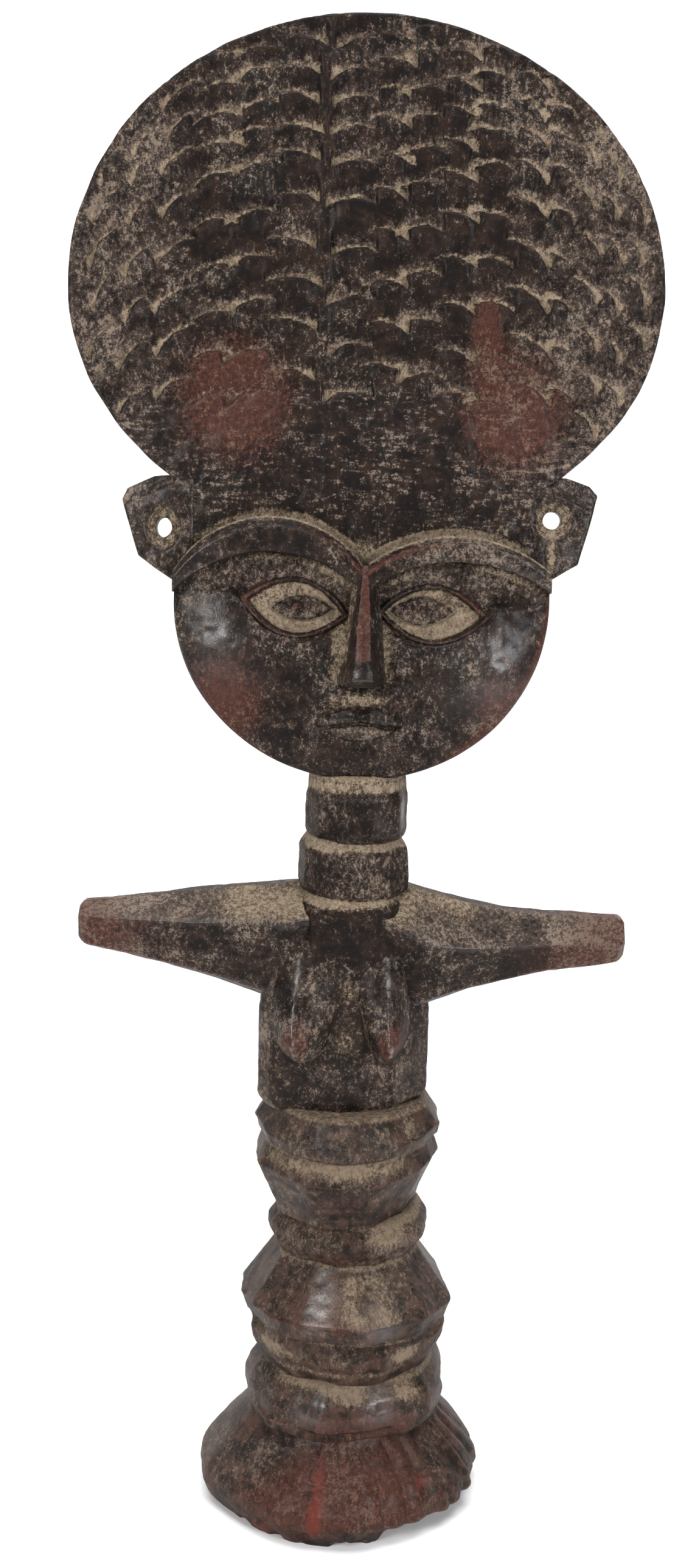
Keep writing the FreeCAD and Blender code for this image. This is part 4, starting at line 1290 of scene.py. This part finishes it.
def make_torso():
    flats = [(math.radians(turn), distance / 20.0) for turn, distance in TORSO_SIDES]
    points, faces, fans = swept_ring(TORSO_PROFILE, flats, flats, 110.0, 90.0, (-1.3, -0.5), rounding=0.4)
    points = whittle(points)
    hollow, normal = hollowness(points, faces, 10)
    x, y, z = points.T
    front = smooth_step(-y, 2.0, 9.0)
    smears = ((0.42, -0.5, 124.0, 2.6, 8.0), (0.40, -1.5, 112.0, 4.0, 4.0), (0.25, -15.0, 106.0, 4.0, 4.0))
    chalk = front * (blobs(x, z, *smears) + 0.10 * noise(points, 5.0, 103))
    chalk += sunk(hollow, 1.2, 0.25) + 0.30 * smooth_step(z, 98.0, 96.0)
    chamfer = smooth_step(np.abs(normal[:, 0]), 0.4, 0.6) * smooth_step(-normal[:, 1], 0.2, 0.5)
    wear = proud(hollow, 1.4, 0.3) + 0.22 * noise(points, 9.0, 104)
    dust_and_sheen = 0.25 + 0.45 * noise(points, 7.0, 105) + 0.45 * chamfer
    masks = {"chalk": chalk, "wear": wear, "dust_and_sheen": dust_and_sheen, "shine": np.full_like(x, 0.10)}
    make_object("torso_block", points, faces, "dark_wood", ["torso"], masks, fans)


# height, outer side, ridge and inner side across the chest, and how far the ridge stands out
BREAST_LEFT = (
    (134.5, -15.0, -10.8, -4.5, -1.4), (131.0, -16.2, -11.2, -2.2, 0.4), (124.0, -17.6, -12.2, -1.8, 3.6),
    (118.0, -17.8, -12.8, -2.8, 6.6), (114.0, -17.4, -12.6, -3.8, 8.4), (110.8, -16.0, -12.0, -5.0, 7.2),
    (108.8, -14.0, -11.0, -6.4, 4.4), (107.2, -11.0, -9.8, -8.6, -0.6),
)
BREAST_RIGHT = (
    (134.5, 12.2, 7.0, 3.0, -1.4), (131.0, 12.8, 7.6, 1.2, 0.4), (124.0, 13.2, 8.2, 0.6, 3.6),
    (118.0, 13.6, 8.6, 2.2, 6.6), (114.0, 13.4, 8.9, 3.2, 8.2), (110.8, 12.4, 8.7, 4.4, 6.8),
    (108.6, 11.0, 8.3, 5.8, 4.0), (106.8, 9.0, 8.0, 7.0, -0.6),
)


def chest_front(x, z):
    """How far the chest's two front planes stand out, just under their surface."""
    flat = np.minimum(13.4 + 0.185 * (x + 1.3), 13.4 - 0.184 * (x + 1.3))
    return flat * np.interp(z, (118.0, 134.6), (1.0, 0.86)) - 1.0


def make_breast(name, node, rows, nipple):
    """Long hanging breast that grows out of the chest, with a soft front ridge."""
    rows = rows[::-1]
    ups = [row[0] for row in rows]
    nx, nz = nipple

    def at(column, z):
        return np.interp(z, ups, [row[column] for row in rows])

    def outline(x, z):
        outer, inner = at(1, z), at(3, z)
        low, high = np.minimum(outer, inner), np.maximum(outer, inner)
        return np.maximum(np.maximum(low - x, x - high) - 0.3, np.maximum(ups[0] - z, z - ups[-1]))

    def front(x, z):
        outer, ridge, inner, out = at(1, z), at(2, z), at(3, z), at(4, z)
        to_outer = (x - ridge) / (outer - ridge)
        to_inner = (x - ridge) / (inner - ridge)
        off = np.clip(np.maximum(to_outer, to_inner), 0.0, 1.25)
        swell = np.where(off < 1.0, 1.0 - 0.30 * off - 0.70 * off ** 2.4, 1.0 - off)
        point = 1.2 * blob(x, z, nx, nz, 1.1, 1.2)
        rough = layers(x, z, (0.14, 2.6, 111), (0.08, 1.2, 112))
        return chest_front(x, z) + (out + 0.9) * swell + point + rough

    across = [value for row in rows for value in (row[1], row[3])]
    box = ((min(across) - 1.0, ups[0] - 0.6, 8.0), (max(across) + 1.0, ups[-1] + 0.6, 23.5))
    vertices, faces = relief(box, 0.28, outline, front, lambda x, z: np.full_like(x, 9.5), 0.5)
    hollow, _ = hollowness(vertices, faces, 9)
    x, z, _ = vertices.T
    edge = np.abs(x - at(2, z)) / np.maximum(np.abs(at(3, z) - at(2, z)), 1.0)
    wear = blobs(x, z, (0.95, nx, nz + 0.5, 2.8, 3.4), (0.35, nx + 2.0, nz + 3.0, 3.5, 5.0))
    wear += proud(hollow, 1.6, 0.35)
    chalk = 0.40 * smooth_step(edge, 0.55, 0.95) * smooth_step(z, 110.0, 116.0)
    chalk += sunk(hollow, 1.6, 0.3)
    chalk *= 0.8 + 0.4 * noise_flat(x, z, 4.0, 113)
    dust_and_sheen = 0.30 + 0.35 * noise_flat(x, z, 5.0, 114)
    shine = 0.08 + 0.8 * smooth_step(np.abs(x - at(2, z) - 0.2), 1.0, 0.3)
    masks = {"chalk": chalk, "wear": wear, "dust_and_sheen": dust_and_sheen, "shine": shine}
    make_object(name, whittle(stand_body(vertices)), faces, "worn_wood", [node], masks)


# direction of each long flat round an arm, degrees above the front, and its share of the section
ARM_FLATS = (
    (92.0, 0.97), (48.0, 0.92), (-24.0, 0.93), (-70.0, 0.94),
    (-112.0, 0.95), (-150.0, 0.95), (178.0, 0.97), (134.0, 0.95),
)
# distance out, height of the middle, half height, half depth, turn of the front ridge
ARM_LEFT = (
    (4.0, 131.4, 15.0, 6.6, 12.0), (9.4, 131.3, 15.4, 8.6, 12.0), (12.6, 131.4, 15.2, 9.7, 12.0),
    (16.0, 131.8, 14.4, 10.3, 12.0), (20.0, 132.5, 13.3, 10.4, 13.0), (28.0, 133.4, 11.5, 9.2, 10.0),
    (35.0, 134.1, 10.0, 8.0, 8.0), (50.0, 134.9, 6.9, 5.8, 9.0), (61.2, 135.5, 5.2, 4.6, 14.0),
)
ARM_RIGHT = (
    (4.0, 131.2, 15.4, 8.8, 16.0), (9.0, 131.2, 15.5, 9.8, 12.0), (12.6, 131.2, 15.2, 10.3, 8.0),
    (16.0, 131.2, 14.0, 10.6, 4.0), (20.0, 131.4, 12.6, 10.3, 0.0), (27.0, 132.0, 10.4, 8.8, -3.0),
    (34.0, 132.4, 8.9, 7.6, -3.0), (45.0, 133.3, 7.0, 6.2, -5.0), (61.2, 134.3, 5.5, 4.7, -9.0),
)


def make_arm(name, node, side, rows):
    """Whittled cone with long flats and a sharp front ridge, its end cut square and bevelled."""
    spine = np.concatenate([np.arange(4.0, 60.0, 0.42), [60.2, 60.6, 61.0, 61.3]])
    outs = [row[0] for row in rows]
    middle, tall, deep, twist = (np.interp(spine, outs, [row[n] for row in rows]) for n in (1, 2, 3, 4))
    end = np.interp(spine, (59.8, 60.7, 61.3), (1.0, 0.90, 0.72))
    ring = 160
    angle = np.linspace(0.0, 2 * math.pi, ring, endpoint=False)
    hoops = []
    for x, z, h, d, e, ridge in zip(spine, middle, tall, deep, end, twist):
        flats = []
        for turn, share in ARM_FLATS:
            on_front = abs(turn) < 60.0
            t = math.radians(turn + (ridge if on_front else 0.0))
            flats.append((t, share * e * math.hypot(d * math.cos(t), h * math.sin(t))))
        reach = flats_reach(angle, flats, 60.0)
        hoop = [np.full(ring, side * x), -reach * np.cos(angle), z + reach * np.sin(angle)]
        hoops.append(np.stack(hoop, axis=1))
    ends = np.array([[side * spine[0], 0.0, middle[0]], [side * spine[-1], 0.0, middle[-1]]])
    points = np.concatenate(hoops + [ends])
    faces, fans = spin_grid(len(spine), ring)
    if side > 0:
        faces, fans = faces[:, ::-1], fans[:, ::-1]
    wander = np.stack([np.zeros(len(points)), noise(points, 7.0, 121), noise(points, 7.0, 122)], axis=1)
    fine = np.stack([np.zeros(len(points)), noise(points, 1.6, 124), noise(points, 1.6, 123)], axis=1)
    points = points + 0.22 * wander + 0.08 * fine
    hollow, normal = hollowness(points, faces, 8)
    reach = np.abs(points[:, 0])
    upper = smooth_step(normal[:, 2], 0.0, 0.5) * smooth_step(-normal[:, 1], -0.2, 0.3)
    patchy = noise(points, 8.0, 125)
    start = 48.0 if side > 0 else 52.0
    wear = 0.62 * smooth_step(reach, start - 10.0, start + 8.0) + proud(hollow, 2.0, 0.3)
    wear += 0.35 * smooth_step(-normal[:, 2], -0.2, 0.4) * smooth_step(reach, 22.0, 44.0)
    chalk = 0.42 * upper * smooth_step(reach, 58.0, 34.0) * (0.8 + 0.9 * patchy)
    chalk += 0.25 * smooth_step(reach, 17.0, 12.0) * upper + 0.15 * upper * patchy
    dust_and_sheen = 0.15 + 0.55 * upper + 0.2 * patchy + 0.75 * smooth_step(reach, 40.0, 56.0)
    shine = 0.06 + 0.4 * smooth_step(-hollow, 0.04, 0.12)
    masks = {"chalk": chalk, "wear": wear, "dust_and_sheen": dust_and_sheen, "shine": shine}
    make_object(name, points, faces, "worn_wood", [node], masks, fans)


# ---- stage ------------------------------------------------------------------
def make_stage():
    floor = bpy.data.meshes.new("floor")
    size, start, bend, rise = 3.0, 0.6, 0.5, 2.6
    rows = [(-size, 0.0), (start, 0.0)]
    for i in range(1, 13):
        turn = math.pi / 2 * i / 12
        rows.append((start + bend * math.sin(turn), bend - bend * math.cos(turn)))
    rows.append((start + bend, rise))
    vertices = []
    for y, z in rows:
        vertices += [(-size, y, z), (size, y, z)]
    faces = [(2 * i, 2 * i + 1, 2 * i + 3, 2 * i + 2) for i in range(len(rows) - 1)]
    floor.from_pydata(vertices, [], faces)
    floor.shade_smooth()
    backdrop = bpy.data.objects.new("floor", floor)
    bpy.context.scene.collection.objects.link(backdrop)
    n = Nodes("pale_paper")
    colour = n.mix(n.ramp(n.lumps(60.0, 2.0, 0.5), 0.3, 0.7), (0.88, 0.88, 0.88), (0.90, 0.90, 0.90))
    n.link(colour, n.shader.inputs["Base Color"])
    n.shader.inputs["Roughness"].default_value = 0.9
    n.shader.inputs["Specular IOR Level"].default_value = 0.1
    floor.materials.append(n.material)


def add_light(name, place, target, size, power, colour):
    data = bpy.data.lights.new(name, "AREA")
    data.shape = "RECTANGLE"
    data.size, data.size_y = size
    data.energy = power
    data.color = colour
    light = bpy.data.objects.new(name, data)
    light.location = place
    aim = Vector(target) - Vector(place)
    light.rotation_euler = aim.to_track_quat("-Z", "Y").to_euler()
    bpy.context.scene.collection.objects.link(light)


WINDOW_SIZE = (0.18, 0.32)
WHITE = (1.0, 1.0, 1.0)


def make_lights():
    middle = (0.0, 0.0, 0.18)
    add_light("window_left", (-0.46, -0.66, 0.50), middle, WINDOW_SIZE, 4.9, (1.0, 0.985, 0.97))
    add_light("window_right", (0.50, -0.66, 0.44), middle, WINDOW_SIZE, 4.4, (0.96, 0.97, 1.0))
    add_light("ceiling", (0.0, -0.10, 1.1), middle, (0.9, 0.6), 9.0, WHITE)
    add_light("backdrop_wash", (0.0, 0.25, 1.0), (0.0, 1.0, 0.35), (1.2, 0.3), 16.0, WHITE)
    world = bpy.data.worlds.new("room")
    bpy.context.scene.world = world
    world.use_nodes = True
    back = world.node_tree.nodes["Background"]
    back.inputs["Color"].default_value = (*WHITE, 1.0)
    back.inputs["Strength"].default_value = 0.20


CAMERA_AWAY = 0.444
CAMERA_HEIGHT = 0.2596
CAMERA_SIDE = -0.0012
CAMERA_PITCH = math.radians(11.6)
CAMERA_ROLL = math.radians(1.3)
CAMERA_LENS = 46.8


def make_camera():
    data = bpy.data.cameras.new("camera")
    data.lens = CAMERA_LENS
    data.sensor_width = 36.0
    data.clip_start = 0.01
    camera = bpy.data.objects.new("camera", data)
    upright = Matrix.Rotation(math.pi / 2 - CAMERA_PITCH, 4, "X")
    roll = Matrix.Rotation(CAMERA_ROLL, 4, "Z")
    camera.matrix_world = Matrix.Translation((CAMERA_SIDE, -CAMERA_AWAY, CAMERA_HEIGHT)) @ upright @ roll
    bpy.context.scene.collection.objects.link(camera)
    bpy.context.scene.camera = camera
    bpy.context.scene.view_settings.view_transform = "Standard"


def build():
    make_disc()
    make_face()
    make_brow("brow_ridge_left", "brow_left", BROW_LEFT_UPPER, BROW_LEFT_LOWER, -1)
    make_brow("brow_ridge_right", "brow_right", BROW_RIGHT_UPPER, BROW_RIGHT_LOWER, 1)
    make_nose()
    make_eye("eye_carved_left", "eye_left", EYE_LEFT, (-12.2, 37.4, 7.4, 2.9))
    make_eye("eye_carved_right", "eye_right", EYE_RIGHT, (13.4, 37.2, 7.6, 3.3))
    make_mouth()
    make_ear("ear_lug_left", "ear_left", EAR_LEFT, EAR_HOLE_LEFT, -1)
    make_ear("ear_lug_right", "ear_right", EAR_RIGHT, EAR_HOLE_RIGHT, 1)
    make_neck()
    make_torso()
    make_breast("breast_carved_left", "breast_left", BREAST_LEFT, (-12.4, 113.4))
    make_breast("breast_carved_right", "breast_right", BREAST_RIGHT, (8.9, 113.2))
    make_arm("arm_cone_left", "arm_left", -1, ARM_LEFT)
    make_arm("arm_cone_right", "arm_right", 1, ARM_RIGHT)
    make_lower_rings()
    make_foot()
    make_stage()
    make_lights()
    make_camera()


build()
